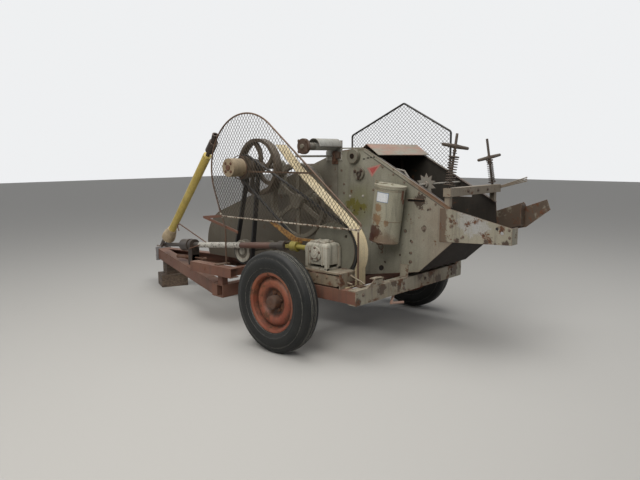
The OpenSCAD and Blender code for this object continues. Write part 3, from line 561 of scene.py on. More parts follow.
def pin(bm, spot, lean, sides, radius, tip_radius, deep):
    """A nut, stud or valve stem, leaning from upright towards the wheel's axle."""
    bar = bmesh.ops.create_cone(bm, cap_ends=True, segments=sides, radius1=radius, radius2=tip_radius,
                                depth=deep)
    bmesh.ops.transform(bm, verts=bar["verts"], matrix=(
        Matrix.Translation(spot) @ Matrix.Rotation(radians(lean), 4, "Y")))


# pairs of place from the wheel's middle and radius; the tyre's run inwards from its tread,
# given as the depth below it
tyre_low, tyre_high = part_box("tyre_left")
tyre_r = (tyre_high.z - tyre_low.z) / 2
tyre_half = (tyre_high.x - tyre_low.x) / 2
rim_r, nut_ring = 0.203, 0.067
tread = [(0.0045, 0.0), (0.012, 0.0), (0.014, 0.01), (0.02, 0.01), (0.022, 0.0003), (0.03, 0.001),
         (0.04, 0.0045)]
wall = [(0.069, 0.04), (0.0705, 0.042), (0.0705, 0.046), (0.0735, 0.05), (0.078, 0.062), (0.0798, 0.078),
        (0.0796, 0.092), (0.077, 0.108), (0.0772, 0.11), (0.0752, 0.116), (0.0745, 0.116), (0.069, 0.132),
        (0.063, 0.142), (0.0625, 0.1455)]
bead = [(0.059, rim_r + 0.02), (0.051, rim_r + 0.02), (0.051, rim_r + 0.0005)]
half = [(x, tyre_r - deep) for x, deep in tread]
half += arc(0.0415, tyre_r - 0.0325, 0.027, 84, 18, 6)
half += [(x, tyre_r - deep) for x, deep in wall] + bead
half = [(min(x, tyre_half - 0.0002), r) for x, r in half]

rim_out = [(0.059, rim_r + 0.012), (0.059, rim_r + 0.0165), (0.056, rim_r + 0.0188), (0.054, rim_r + 0.018),
           (0.0535, rim_r + 0.005), (0.0515, rim_r), (0.03, rim_r - 0.004), (0.015, rim_r - 0.014)]
rim_in = [(0.015, rim_r - 0.018), (0.032, rim_r - 0.009), (0.05, rim_r - 0.005), (0.056, rim_r + 0.002)]
disc = [(0.012, rim_r - 0.0195), (0.015, rim_r - 0.024), (0.026, rim_r - 0.036), (0.037, rim_r - 0.05),
        (0.04, 0.142), (0.0385, 0.126), (0.03, 0.11), (0.014, 0.098), (0.004, 0.09), (0.0, 0.084),
        (0.0, 0.053)]
hub = [(-0.07, 0.021), (-0.07, 0.05), (-0.066, 0.052), (0.026, 0.052), (0.03, 0.0515), (0.05, 0.0505),
       (0.056, 0.048), (0.06, 0.042), (0.0615, 0.03), (0.0618, 0.0)]

for side, label in ((-1, "left"), (1, "right")):
    place = Matrix.Translation((side * wheel_x, wheel_y, tyre_r)) @ Matrix.Scale(side, 4, (1, 0, 0))
    rim = spun(rim_out + mirrored(rim_out) + mirrored(rim_in) + rim_in, 96)
    web = spun(disc, 72, closed=False)
    bmesh.ops.solidify(web, geom=web.faces[:], thickness=0.006)
    join(rim, web)
    for k in range(5):
        y, z = nut_ring * sin(2 * pi * k / 5), nut_ring * cos(2 * pi * k / 5)
        pin(rim, (0.009, y, z), 90, 6, 0.0115, 0.0105, 0.012)
        pin(rim, (0.012, y, z), 90, 14, 0.0062, 0.0062, 0.02)
    pin(rim, (0.036, 0.0, rim_r - 0.026), 70, 12, 0.0045, 0.0035, 0.045)
    for kind, bm, paint, slot, replaced in (
        ("ribbed_tyre", spun(mirrored(half) + half, 112), rubber, "tyre", [f"tyre_{label}"]),
        ("pressed_rim", rim, rim_red, "rim", [f"rim_{label}"]),
        ("wheel_hub", spun(hub, 48, closed=False), hub_brown, "rim", ()),
    ):
        bm.transform(place)
        bmesh.ops.recalc_face_normals(bm, faces=bm.faces)
        piece(f"{kind}_{label}", bm, paint, f"wheel_{label}", replaces=replaced)

# The side plates of the bale chamber, with capped rims: sheet steel in pale grey-green paint,
# rust-spotted and stained, with painted shade on their inner faces. Bolts, slots and lips stand on the left
# one.

face_x, inner_x, far_face_x = -0.09, -0.0865, 0.6265
slope_rise, slope_high, peak_y = 0.5513, 1.954, -0.85
green_heart = (-0.09, -0.82, 1.02)
green_spots = [(-0.715, 1.03, 0.034), (-0.795, 1.005, 0.055), (-0.868, 1.012, 0.032), (-0.76, 1.055, 0.03)]
green_pits = [(-0.7, 1.0, 0.008), (-0.775, 0.985, 0.01), (-0.842, 1.0, 0.012), (-0.88, 0.975, 0.01)]
rust_spots = [(-1.428, 0.886, 0.02), (-1.318, 0.786, 0.01), (-1.311, 0.695, 0.009), (-1.317, 0.627, 0.01),
              (-1.585, 0.92, 0.012), (-1.458, 1.027, 0.008), (-1.654, 0.996, 0.01), (-1.083, 0.599, 0.008),
              (-1.222, 0.67, 0.008), (-0.989, 1.131, 0.008), (-1.263, 0.857, 0.012), (-0.865, 0.771, 0.01),
              (-0.721, 0.758, 0.007), (-1.0, 0.95, 0.028), (-1.035, 0.9, 0.02), (-1.39, 1.09, 0.05)]


def on_face(spots):
    """Places on the left plate's outer face."""
    return [(face_x, *spot) for spot in spots]


def plate_stains(t, coat):
    """A yellow-green stain, browner paint to the rear and low down, pits, a rim with its shadow,
    grease with painted shade behind the guard, and painted shade on the plates' inner faces.
    """
    at = axes(t)
    mess = noise(t, 7.0, 6.0, 0.65)
    lean = plus(t, at["Y"], times(t, mess, 0.45))
    coat = mixed(t, remap(t, lean, -1.05, -1.45, 0.0, 0.55), coat, (0.2, 0.135, 0.095))
    low = plus(t, at["Z"], times(t, mess, 0.25))
    coat = mixed(t, remap(t, low, 0.72, 0.52, 0.0, 0.6), coat, (0.12, 0.085, 0.06))
    from_heart = plus(t, away_from(t, green_heart), times(t, noise(t, 5.0, 5.0, 0.6), 0.25))
    coat = mixed(t, times(t, remap(t, from_heart, 0.34, 0.2), 0.35), coat, (0.15, 0.15, 0.035))
    coat = blots(t, coat, on_face(green_spots), (0.125, 0.108, 0.014), 0.9, 5.0)
    coat = blots(t, coat, on_face(green_pits), (0.045, 0.022, 0.01), 0.9, 6.0)
    coat = mixed(t, remap(t, at["Y"], -0.606, -0.6, 0.0, 0.35), coat, (0.17, 0.14, 0.115))
    coat = blots(t, coat, on_face(rust_spots), (0.03, 0.014, 0.008))
    from_slope = maths(t, "SUBTRACT", at["Z"], times(t, at["Y"], slope_rise))
    from_slope = maths(t, "SUBTRACT", from_slope, slope_high)
    behind_peak = remap(t, at["Y"], peak_y, peak_y - 0.03)
    rim_tone = mixed(t, remap(t, lean, -1.0, -1.12), (0.33, 0.31, 0.25), (0.17, 0.085, 0.045))
    on_rim = remap(t, from_slope, -0.024, -0.02, 0.0, 0.85)
    coat = mixed(t, times(t, behind_peak, on_rim), coat, rim_tone)
    shadow = times(t, remap(t, from_slope, -0.036, -0.03), remap(t, from_slope, -0.022, -0.026))
    coat = mixed(t, times(t, behind_peak, times(t, shadow, 0.8)), coat, (0.035, 0.025, 0.018))
    # Behind the guard the plate is darkened by grease and by the painted shade of the guard's mesh.
    oily_and_shaded = remap(t, plus(t, at["Y"], times(t, mess, 0.3)), -0.5, -0.3)
    oily_and_shaded = times(t, oily_and_shaded, remap(t, at["Z"], 1.38, 1.25, 0.0, 0.75))
    coat = mixed(t, oily_and_shaded, coat, (0.075, 0.062, 0.045))
    # The plates' inner faces, inside the chamber, are painted near-black as shade.
    right_of_left = remap(t, at["X"], inner_x - 0.001, inner_x)
    inside = times(t, right_of_left, remap(t, at["X"], far_face_x + 0.001, far_face_x))
    return mixed(t, times(t, inside, 0.95), coat, (0.016, 0.013, 0.011))


plate_paint = finish_of("plate_paint", (0.185, 0.176, 0.132), (0.3, 0.29, 0.236), rust=0.46, size=11.0,
                        wear=0.8, dust=0.12, streaks=0.28, rough=0.5, tint=plate_stains)
coat_node(plate_paint, "side_plate_left", "side_plate_right")

left = (-1, 0, 0)
rail_face = face_x - 0.005
bm = bmesh.new()
for y, z in ((-0.667, 1.191), (-0.667, 1.118), (-0.865, 0.771), (-0.955, 0.783), (-1.263, 0.857),
             (-1.327, 0.78), (-1.32, 0.696), (-1.322, 0.628), (-1.588, 0.921), (-0.989, 1.131),
             (-0.64, 1.3), (-0.64, 0.9), (-0.64, 0.7), (-0.64, 0.52), (-1.475, 1.035)):
    bolt(bm, (face_x, y, z), left, 0.0065)
for y in (-1.05, -1.15, -1.25, -1.38, -1.52):
    bolt(bm, (face_x, y, 1.48 + (y + 0.86) * slope_rise - 0.045), left, 0.0055)
for y, z in ((-1.657, 0.997), (-1.659, 0.926), (-1.686, 0.829), (-1.747, 0.856), (-2.08, 0.93),
             (-2.085, 0.88)):
    bolt(bm, (rail_face, y, z), left, 0.0065)
bolt(bm, (face_x, -1.428, 0.886), left, 0.012)
piece("plate_bolts", bm, bolt_steel)

bare_bolt = finish_of("bare_bolt", (0.4, 0.39, 0.35), (0.46, 0.44, 0.4), rust=0.25, size=30.0, wear=0.3,
                      dust=0.1, rough=0.4)
bm = bmesh.new()
for y, z in ((-0.73, 1.096), (-0.862, 1.102), (-0.955, 0.745)):
    bolt(bm, (face_x, y, z), left, 0.007)
piece("new_plate_bolts", bm, bare_bolt)

# The near-black slots and holes are painted shade in the openings; the long thin bar is the dark seam
# between two sheets.
slot_shade_and_seam = finish_of("slot_shade_and_seam", (0.012, 0.01, 0.009), (0.02, 0.015, 0.012), rust=0.2, size=20.0, wear=0.0,
                     dust=0.0, streaks=0.0, rough=0.8)
bm = bmesh.new()
for y, z, long in ((-0.869, 1.392, 0.02), (-0.909, 1.4, 0.026), (-0.938, 1.404, 0.018),
                   (-0.967, 1.407, 0.018), (-0.995, 1.407, 0.012)):
    block(bm, (face_x - 0.0006, y - long / 2, z - 0.005), (face_x + 0.0005, y + long / 2, z + 0.005))
block(bm, (face_x - 0.0009, -0.6035, 0.44), (face_x + 0.0005, -0.601, 1.44))
for x, y, z, radius in ((rail_face, -1.995, 0.933, 0.01), (face_x, -1.046, 0.546, 0.02),
                        (face_x, -1.585, 0.915, 0.008)):
    barrel(bm, (x - 0.0002, y, z), left, 24, radius, radius, 0.0012)
piece("plate_slots", bm, slot_shade_and_seam, smooth=False)

bm = bmesh.new()
block(bm, (face_x - 0.022, -1.425, 1.1), (face_x - 0.0005, -1.28, 1.104))
block(bm, (face_x - 0.0035, -0.868, 1.472), (face_x - 0.0003, -0.605, 1.482))
weld(bm, (face_x - 0.001, -0.868, 1.464), (face_x - 0.001, -0.605, 1.456), 0.003)
piece("plate_lips", bm, plate_paint, smooth=False)

# The sign and the rusty bracket near the top of the left plate: a faded red triangle
# with a paler border, left blank, and an iron lug held by one bolt.

sign_red = finish_of("faded_sign_red", (0.36, 0.045, 0.045), (0.42, 0.1, 0.09), rust=0.15, size=18.0,
                     wear=0.2, dust=0.25, streaks=0.3, rough=0.5)
sign_edge = finish_of("faded_sign_edge", (0.42, 0.16, 0.14), (0.4, 0.22, 0.18), rust=0.15, size=18.0,
                      wear=0.2, dust=0.25, streaks=0.3, rough=0.5)
corners = [Vector(p) for p in ((-0.9, 1.322), (-1.034, 1.354), (-0.949, 1.254))]
middle = sum(corners, Vector((0, 0))) / 3
for name, share, proud, paint in (("sign_border", 1.0, 0.0006, sign_edge),
                                  ("sign_field", 0.6, 0.001, sign_red)):
    bm = bmesh.new()
    plate(bm, [middle + (c - middle) * share for c in corners], "x", face_x - proud, face_x - 0.0002)
    piece(name, bm, paint, smooth=False)

rusty_iron = finish_of("rusty_iron", (0.1, 0.045, 0.028), (0.15, 0.075, 0.045), rust=0.6, size=20.0,
                       wear=0.4, dust=0.2, rough=0.65)
lug = [(-0.605, 1.35), (-0.548, 1.35), (-0.548, 1.44), (-0.562, 1.456), (-0.605, 1.456)]
bm = bmesh.new()
plate(bm, lug, "x", face_x - 0.012, face_x - 0.0005)
block(bm, (face_x - 0.04, -0.6, 1.372), (face_x - 0.011, -0.59, 1.44))
bolt(bm, (face_x - 0.012, -0.57, 1.375), left, 0.009)
piece("rusty_bracket", bm, rusty_iron, smooth=False)

# The exit rails: folded channels that carry the bale out behind the chamber.
# Their paint is worn through in patches, and the left one is torn along its lower edge.

rail_torn = [(-1.925, 0.836, 0.022), (-1.985, 0.828, 0.01), (-2.058, 0.834, 0.026),
             (-2.0, 0.92, 0.004), (-1.7, 0.826, 0.018), (-1.65, 0.96, 0.012)]
rail_pale = [(-1.79, 0.965, 0.085), (-1.88, 0.93, 0.055)]
seam_y, far_rail_x = -1.622, 0.3


def rail_rust(t, coat):
    """Rust eaten into the lower edge, pale patches, and a far rail that is nearly bare."""
    at = axes(t)
    coat = blots(t, coat, [(rail_face, *spot) for spot in rail_torn], (0.035, 0.014, 0.008))
    coat = blots(t, coat, [(rail_face, *spot) for spot in rail_pale], (0.36, 0.36, 0.36), 0.6)
    cloud = noise(t, 9.0, 7.0, 0.7)
    seam = plus(t, at["Y"], times(t, maths(t, "SUBTRACT", cloud, 0.5), 0.12))
    coat = mixed(t, remap(t, seam, seam_y, seam_y + 0.014, 0.0, 0.8), coat, (0.085, 0.045, 0.026))
    bare = remap(t, cloud, 0.62, 0.56, 0.35, 0.95)
    bare = times(t, bare, remap(t, at["X"], far_rail_x, far_rail_x + 0.04))
    return mixed(t, bare, coat, (0.07, 0.045, 0.03))


rail_paint = finish_of("rail_paint", (0.245, 0.23, 0.175), (0.3, 0.275, 0.215), rust=0.62, size=12.0,
                       wear=0.9, dust=0.12, streaks=0.5, rough=0.52, tint=rail_rust)
coat_node(rail_paint, "exit_rails")

# The front cover and the hood: rolled and folded sheet in the same worn paint.
# The hood still shows part of a red stripe.

cover_paint = finish_of("cover_paint", (0.27, 0.26, 0.215), (0.2, 0.19, 0.15), rust=0.36, size=7.0,
                        wear=0.6, dust=0.15, streaks=0.4, rough=0.5)
coat_node(cover_paint, "front_cover")


def faded_red(t, coat):
    """What is left of a red stripe across the hood."""
    mess = noise(t, 6.0, 7.0, 0.7, stretch=(0.5, 3.0, 3.0))
    return mixed(t, remap(t, mess, 0.44, 0.6, 0.0, 0.7), coat, (0.34, 0.14, 0.1))


hood_paint = finish_of("hood_paint", (0.27, 0.26, 0.21), (0.21, 0.2, 0.16), rust=0.34, size=8.0, wear=0.6,
                       dust=0.25, streaks=0.3, rough=0.5, tint=faded_red)
coat_node(hood_paint, "hood")

# The chamber's floor and the ram: sheet steel that lies in the dark of the chamber,
# coloured near-black as painted shade.

painted_shade_sheet = finish_of("painted_shade_floor_sheet", (0.01, 0.008, 0.007), (0.02, 0.014, 0.011), rust=0.3, size=6.0,
                       wear=0.4, dust=0.06, streaks=0.3, rough=0.6)
painted_shade_sheet.node_tree.nodes["Principled BSDF"].inputs["Specular IOR Level"].default_value = 0.06
coat_node(painted_shade_sheet, "floor", "ram")

# The star wheel that measures the bale: a toothed disc on a cross shaft,
# with a bent trip rod over it, in worn bare steel.


def rod(bm, points, radius, sides=10):
    """A round bar, bent at the points between its ends."""
    for a, b in zip(points, points[1:]):
        a, b = Vector(a), Vector(b)
        barrel(bm, (a + b) / 2, b - a, sides, radius, radius, (b - a).length)
    for p in points[1:-1]:
        knee = bmesh.ops.create_icosphere(bm, subdivisions=2, radius=radius)
        bmesh.ops.translate(bm, verts=knee["verts"], vec=p)


star_place, star_r, star_notch = Vector((0.1, -1.318, 1.2)), 0.085, 0.62
bm = bmesh.new()
star = bmesh.ops.create_circle(bm, cap_ends=True, segments=20, radius=star_r)
bmesh.ops.scale(bm, verts=star["verts"][::2], vec=(star_notch, star_notch, 1.0))
grown_by(bm, bm.faces[:], (0, 0, 0.006))
bmesh.ops.create_cone(bm, cap_ends=True, segments=24, radius1=0.024, radius2=0.024, depth=0.034)
bm.transform(Matrix.Translation(star_place) @ Matrix.Rotation(pi / 2, 4, "Y"))
rod(bm, [(x, star_place.y, star_place.z) for x in (-0.083, 0.6235)], 0.009, 14)
rod(bm, [(0.04, -1.08, 1.315), (0.04, -1.16, 1.3), (0.04, -1.21, 1.24), (0.04, -1.2, 1.18)], 0.008)
bmesh.ops.recalc_face_normals(bm, faces=bm.faces)
star_steel = finish_of("star_steel", (0.3, 0.29, 0.26), (0.22, 0.2, 0.17), rust=0.4, size=20.0, wear=0.6,
                       dust=0.2, rough=0.5)
piece("star_wheel", bm, star_steel, smooth=False)

# The tension beam, its two threaded spindles with T-handles, and their coil springs.
# Square tube and round bar, in greasy dark steel; the spindles hold the beam down.

beam_brown = finish_of("beam_brown", (0.2, 0.165, 0.12), (0.27, 0.23, 0.18), rust=0.5, size=11.0, wear=0.7,
                       dust=0.2, streaks=0.3, rough=0.6)
coat_node(beam_brown, "tension_beam")
greasy = finish_of("greasy_steel", (0.045, 0.034, 0.026), (0.08, 0.06, 0.045), rust=0.45, size=20.0,
                   wear=0.4, dust=0.1, rough=0.5)
coat_node(greasy, "spindles")

# for each spindle: its foot and tip, the share of its length where the T-handle sits,
# the handle's middle radius, and the spring's diameter and length
left_spindle = (Vector((-0.078, -1.615, 1.165)), Vector((-0.025, -1.64, 1.57)), 0.78, 0.0165, 0.074, 0.19)
right_spindle = (Vector((0.61, -1.615, 1.165)), Vector((0.54, -1.585, 1.545)), 0.62, 0.0145, 0.052, 0.165)
thread_top, thread_gap, ridges = 0.985, 0.05, 34
grip_half = [(0.05, 0.0135), (0.104, 0.0115), (0.1095, 0.0085), (0.1095, 0.0)]
nuts = [(0.0, 6, 0.0165, 0.03), (0.075, 6, 0.015, 0.012), (0.115, 24, 0.019, 0.004)]

bm = bmesh.new()
for x in (0.142, 0.296, 0.45):
    bolt(bm, (x, -1.65, 1.16), (0, -1, 0), 0.008)
for foot, tip, share, grip_r, *_ in (left_spindle, right_spindle):
    up = tip - foot
    for down, sides, radius, thick in nuts:
        barrel(bm, foot + up * (share - down), up, sides, radius, radius, thick)
    thread = share + thread_gap
    for k in range(ridges):
        ridge = bmesh.ops.create_cone(bm, cap_ends=False, segments=14, radius1=0.0101, radius2=0.009,
                                      depth=0.003)
        seated(bm, ridge, foot + up * (thread + (thread_top - thread) * k / ridges), up)
    grip = spun(mirrored(grip_half) + [(0.0, grip_r)] + grip_half, 20)
    grip.transform(Matrix.Translation(foot + up * share) @ Matrix.Rotation(atan2(up.y, up.x), 4, "Z")
                   @ Matrix.Rotation(up.angle(Vector((0, 0, 1))), 4, "Y"))
    join(bm, grip)
piece("spindle_nuts", bm, greasy)

turns, wire, steps_a_turn = 10, 0.0036, 24
collar_share, collar_high, spring_play, wire_in = 0.11, 0.0066, 0.0012, 0.0046
for name, spindle, replaced in (("left", left_spindle, ["springs"]), ("right", right_spindle, ())):
    foot, tip, _, _, wide, length = spindle
    up = (tip - foot).normalized()
    steps = turns * steps_a_turn
    rise = length - spring_play - 2 * wire
    bm = bmesh.new()
    bmesh.ops.create_circle(bm, segments=8, radius=wire)
    bmesh.ops.rotate(bm, verts=bm.verts, cent=(0, 0, 0), matrix=Matrix.Rotation(pi / 2, 3, "X"))
    bmesh.ops.translate(bm, verts=bm.verts, vec=(wide / 2 - wire_in, 0, wire))
    bmesh.ops.spin(bm, geom=bm.verts[:] + bm.edges[:], cent=(0, 0, 0), axis=(0, 0, 1),
                   dvec=(0, 0, rise / steps), angle=2 * pi * turns, steps=steps)
    bmesh.ops.holes_fill(bm, edges=[e for e in bm.edges if e.is_boundary], sides=0)
    bmesh.ops.recalc_face_normals(bm, faces=bm.faces)
    at = foot + up * ((tip - foot).length * collar_share + collar_high)
    bm.transform(Matrix.Translation(at) @ up.to_track_quat("Z", "Y").to_matrix().to_4x4())
    piece(f"coil_spring_{name}", bm, greasy, replaces=replaced)

# The mesh guards: on the left a bent round rod with diamond wire mesh welded to it, dark and
# rusty, on flat stays. The right guard is of the same make, in black.


def flecked_bar(t, coat):
    """Flecks of old pale paint are left on the guard's lower bar."""
    z = axes(t)["Z"]
    bar = times(t, remap(t, z, 0.89, 0.893), remap(t, z, 0.935, 0.932))
    flecks = remap(t, noise(t, 62.0, 3.0, 0.5), 0.47, 0.52, 0.0, 0.9)
    return mixed(t, times(t, bar, flecks), coat, (0.46, 0.41, 0.33))


def yellow_behind(t, coat):
    """The rear stay keeps its yellow paint, and the tops of the stays are pale."""
    at = axes(t)
    worn = remap(t, noise(t, 40.0, 6.0, 0.7), 0.44, 0.58)
    old_yellow = mixed(t, worn, (0.34, 0.185, 0.045), (0.13, 0.055, 0.022))
    coat = mixed(t, remap(t, at["Y"], 0.0, -0.05), coat, old_yellow)
    return mixed(t, remap(t, at["Z"], 1.2, 1.22, 0.0, 0.85), coat, (0.38, 0.34, 0.28))


guard_rod = finish_of("guard_rod", (0.07, 0.04, 0.026), (0.13, 0.075, 0.045), rust=0.3, size=14.0,
                      wear=0.3, dust=0.12, rough=0.6, tint=flecked_bar)
coat_node(guard_rod, "guard_frame_left")
stay_paint = finish_of("stay_paint", (0.13, 0.055, 0.035), (0.18, 0.08, 0.05), rust=0.42, size=22.0,
                       wear=0.5, dust=0.2, rough=0.55, tint=yellow_behind)
coat_node(stay_paint, "guard_stays")
black_rod = finish_of("black_rod", (0.012, 0.012, 0.012), (0.03, 0.027, 0.024), rust=0.2, size=14.0,
                      wear=0.3, dust=0.06, rough=0.5)
coat_node(black_rod, "guard_frame_right")
wire_steel = finish_of("guard_wire", (0.03, 0.024, 0.018), (0.095, 0.075, 0.052), rust=0.3, size=12.0,
                       wear=0.0, dust=0.05, rough=0.55)


def chain_outline(circles, inset):
    """The outline round a chain of circles (place, height, radius), in the plane of y and z."""
    points = []

    def outward(a, b):
        along = degrees(atan2(b[1] - a[1], b[0] - a[0]))
        apart = sqrt((b[0] - a[0]) ** 2 + (b[1] - a[1]) ** 2)
        return along - degrees(acos((a[2] - b[2]) / apart))

    for before, here, after in zip(circles[-1:] + circles[:-1], circles, circles[1:] + circles[:1]):
        start = outward(before, here)
        sweep = (outward(here, after) - start) % 360
        steps = max(2, int(sweep / 5))
        points += arc(here[0], here[1], here[2] - inset, start, start + sweep, steps)
    return points


def cut(outline, point, along):
    """The stretches of a line that lie inside an outline."""
    hits = []
    for (ax, ay), (bx, by) in zip(outline, outline[1:] + outline[:1]):
        ex, ey = bx - ax, by - ay
        away_x, away_y = ax - point[0], ay - point[1]
        cross = along[0] * ey - along[1] * ex
        if abs(cross) > 1e-12 and 0 <= (away_x * along[1] - away_y * along[0]) / cross < 1:
            hits.append((away_x * ey - away_y * ex) / cross)
    hits.sort()
    return list(zip(hits[::2], hits[1::2]))


def without_hole(stretches, hole, point, along):
    """Stretches of a line, with what lies in a round hole taken out."""
    if not hole:
        return stretches
    y, z, radius = hole
    near = (y - point[0]) * along[0] + (z - point[1]) * along[1]
    off = (z - point[1]) * along[0] - (y - point[0]) * along[1]
    if abs(off) >= radius:
        return stretches
    gap = sqrt(radius * radius - off * off)
    return [part for a, b in stretches for part in ((a, min(b, near - gap)), (max(a, near + gap), b))]


def wire_mesh(name, x, outline, hole, pitch, wire, lean, node):
    """Two layers of slanting wires, cut at the outline and at a round hole."""
    shortest = 0.004
    ys, zs = zip(*outline)
    middle_y, middle_z = (min(ys) + max(ys)) / 2, (min(zs) + max(zs)) / 2
    rows = int(max(max(ys) - min(ys), max(zs) - min(zs)) / pitch)
    bm = bmesh.new()
    for layer, angle in ((-1, lean), (1, 180 - lean)):
        along = (cos(radians(angle)), sin(radians(angle)))
        for k in range(-rows, rows + 1):
            point = (middle_y - along[1] * k * pitch, middle_z + along[0] * k * pitch)
            for a, b in without_hole(cut(outline, point, along), hole, point, along):
                if b - a < shortest:
                    continue
                bar = bmesh.ops.create_cone(bm, cap_ends=True, segments=5, radius1=wire, radius2=wire,
                                            depth=b - a)
                y, z = point[0] + along[0] * (a + b) / 2, point[1] + along[1] * (a + b) / 2
                bmesh.ops.transform(bm, verts=bar["verts"], matrix=(
                    Matrix.Translation((x + layer * wire * 0.8, y, z))
                    @ Matrix.Rotation(radians(angle - 90), 4, "X")))
    piece(name, bm, wire_steel, replaces=[node])


drum_y, drum_z = 0.05, 1.325
left_circles = [(-1.2, 0.935, 0.03), (0.28, 0.935, 0.03), (-0.04, 1.3, 0.46)]
wire_mesh("guard_wires_left", -0.584, chain_outline(left_circles, 0.006), (drum_y, drum_z, 0.093),
          0.0273, 0.0018, 53.5, "guard_mesh_left")
right_circles = [(-1.14, 1.2, 0.03), (-0.13, 1.2, 0.03), (-0.13, 1.59, 0.03), (-0.69, 1.845, 0.03),
                 (-1.14, 1.6, 0.03)]
wire_mesh("guard_wires_right", 0.715, chain_outline(right_circles, 0.008), None, 0.025, 0.0017, 43,
          "guard_mesh_right")

bm = spun([(0.0, 0.091), (0.0, 0.099), (0.003, 0.099), (0.003, 0.091)], 48)
bm.transform(Matrix.Translation((-0.5855, drum_y, drum_z)))
piece("guard_ring", bm, guard_rod)

# The belt guard: a strip of cream-painted sheet that follows the slanted belt.
# Its paint is chipped along both edges, with brown rust under it, and a foot holds it on the rail.

cream = finish_of("cream_paint", (0.62, 0.5, 0.3), (0.7, 0.6, 0.4), rust=0.34, size=16.0, wear=0.8,
                  dust=0.15, streaks=0.3, rough=0.5)

disc_y, disc_z = -0.94, 0.738
band_x, band_w, band_r, band_t = -0.57, 0.115, 0.262, 0.004
band_in, band_run, band_bend, band_tip = 0.248, 0.58, 1.3, 0.16
band_a, band_turn, foot_a = radians(126.5), radians(7.6), radians(207)
foot_x, foot_y, foot_top = -0.67, disc_y + band_r * cos(foot_a), rail_high + 0.006


def on_band(u, v):
    """A place on the strip's path, from the disc's centre: u outward and v along the belt."""
    return (disc_y + u * cos(band_a) - v * sin(band_a), disc_z + u * sin(band_a) + v * cos(band_a))


strip = [(foot_y, foot_top)]
for k in range(27):
    lean = foot_a + (band_a - foot_a) * k / 26
    bend_r = band_r + (band_in - band_r) * k / 26
    strip.append((disc_y + bend_r * cos(lean), disc_z + bend_r * sin(lean)))
strip += [on_band(band_in, -band_run * k / 6) for k in range(1, 6)]
for k in range(9):
    lean = band_turn * k / 8
    last_u, last_v = band_in + band_bend * (1 - cos(lean)), -band_run - band_bend * sin(lean)
    strip.append(on_band(last_u, last_v))
for k in range(1, 5):
    out = band_tip * k / 4
    strip.append(on_band(last_u + out * sin(band_turn), last_v - out * cos(band_turn)))

bm = bmesh.new()
line = [bm.verts.new((band_x, y, z)) for y, z in strip]
for a, b in zip(line, line[1:]):
    bm.edges.new((a, b))
grown = bmesh.ops.extrude_edge_only(bm, edges=bm.edges[:])
far_edge = [g for g in grown["geom"] if isinstance(g, bmesh.types.BMVert)]
bmesh.ops.translate(bm, verts=far_edge, vec=(band_w, 0, 0))
bmesh.ops.recalc_face_normals(bm, faces=bm.faces)
bmesh.ops.solidify(bm, geom=bm.faces[:], thickness=band_t)
block(bm, (foot_x, foot_y - 0.002, rail_high), (band_x + band_w, foot_y + 0.012, foot_top))
bmesh.ops.recalc_face_normals(bm, faces=bm.faces)
piece("belt_guard_strip", bm, cream, replaces=["belt_guard"])

# The wheels and bearings of the drive: flywheel with its outer drum, lower pulley, gear wheel
# and flanged bearings, in grey iron castings that are dark with oil, each held by its bolts.

casting = finish_of("pale_casting", (0.5, 0.48, 0.41), (0.3, 0.28, 0.22), rust=0.36, size=16.0, wear=0.5,
                    dust=0.1, streaks=0.7, rough=0.5, bump=0.45)
dark_iron = finish_of("dark_iron", (0.018, 0.014, 0.012), (0.045, 0.032, 0.024), rust=0.3, size=12.0,
                      wear=0.5, dust=0.06, rough=0.5, bump=0.35)
grey_iron = finish_of("grey_iron", (0.1, 0.09, 0.07), (0.19, 0.17, 0.13), rust=0.4, size=11.0, wear=0.5,
                      dust=0.12, rough=0.55, bump=0.35)
coat_node(grey_iron, "lower_pulley", "gear_wheel")


def beige_drum(t, coat):
    """The drum outside the guard is beige under its rust, the wheel dark."""
    return mixed(t, remap(t, axes(t)["X"], -0.565, -0.575), coat, (0.29, 0.225, 0.145))


wheel_paint = finish_of("flywheel_paint", (0.06, 0.046, 0.034), (0.11, 0.085, 0.06), rust=0.42, size=11.0,
                        wear=0.5, dust=0.1, rough=0.5, bump=0.35, tint=beige_drum)
coat_node(wheel_paint, "flywheel")
bearing_paint = finish_of("bearing_paint", (0.19, 0.18, 0.14), (0.12, 0.11, 0.085), rust=0.5, size=14.0,
                          wear=0.7, dust=0.1, rough=0.5, bump=0.4)
coat_node(bearing_paint, "bearings")


def bolt_ring(bm, x, y, z, radius, count, first, size):
    """Bolts round a middle, on a face that looks to the left."""
    for k in range(count):
        a = radians(first + 360 / count * k)
        bolt(bm, (x, y + radius * cos(a), z + radius * sin(a)), left, size)


boss_x, pulley_y, pulley_z = -0.114, 0.193, 0.591
bm = bmesh.new()
bolt_ring(bm, boss_x, -0.83, 1.28, 0.036, 3, 25, 0.009)
collar = spun([(0.0, 0.013), (0.0, 0.022), (-0.012, 0.022), (-0.012, 0.013)], 28)
collar.transform(Matrix.Translation((boss_x, -0.84, 1.275)))
join(bm, collar)
for y in (-0.045, 0.045):
    bolt(bm, (-0.132, pulley_y + y, pulley_z), left, 0.009)
piece("bearing_bolts", bm, dark_iron)

bm = spun([(-0.4485, 0.06), (-0.4485, 0.096), (-0.452, 0.098), (-0.454, 0.096), (-0.454, 0.088),
           (-0.45, 0.084), (-0.4495, 0.064)], 64)
barrel(bm, (-0.4522, 0.0, 0.0), left, 32, 0.034, 0.03, 0.008)
bm.transform(Matrix.Translation((0.0, pulley_y, pulley_z)))
piece("pulley_dish", bm, casting, "pulley_body")

bm = bmesh.new()
bolt_ring(bm, -0.7, drum_y, drum_z, 0.046, 4, 45, 0.008)
barrel(bm, (-0.7045, drum_y, drum_z), left, 32, 0.024, 0.022, 0.01)
piece("drum_bolts", bm, rusty_iron, "flywheel_body")

# The front bearing stand of the long shaft, a dark casting on the drawbar, with the latch rods
# and the hooked rod that lie beside it.

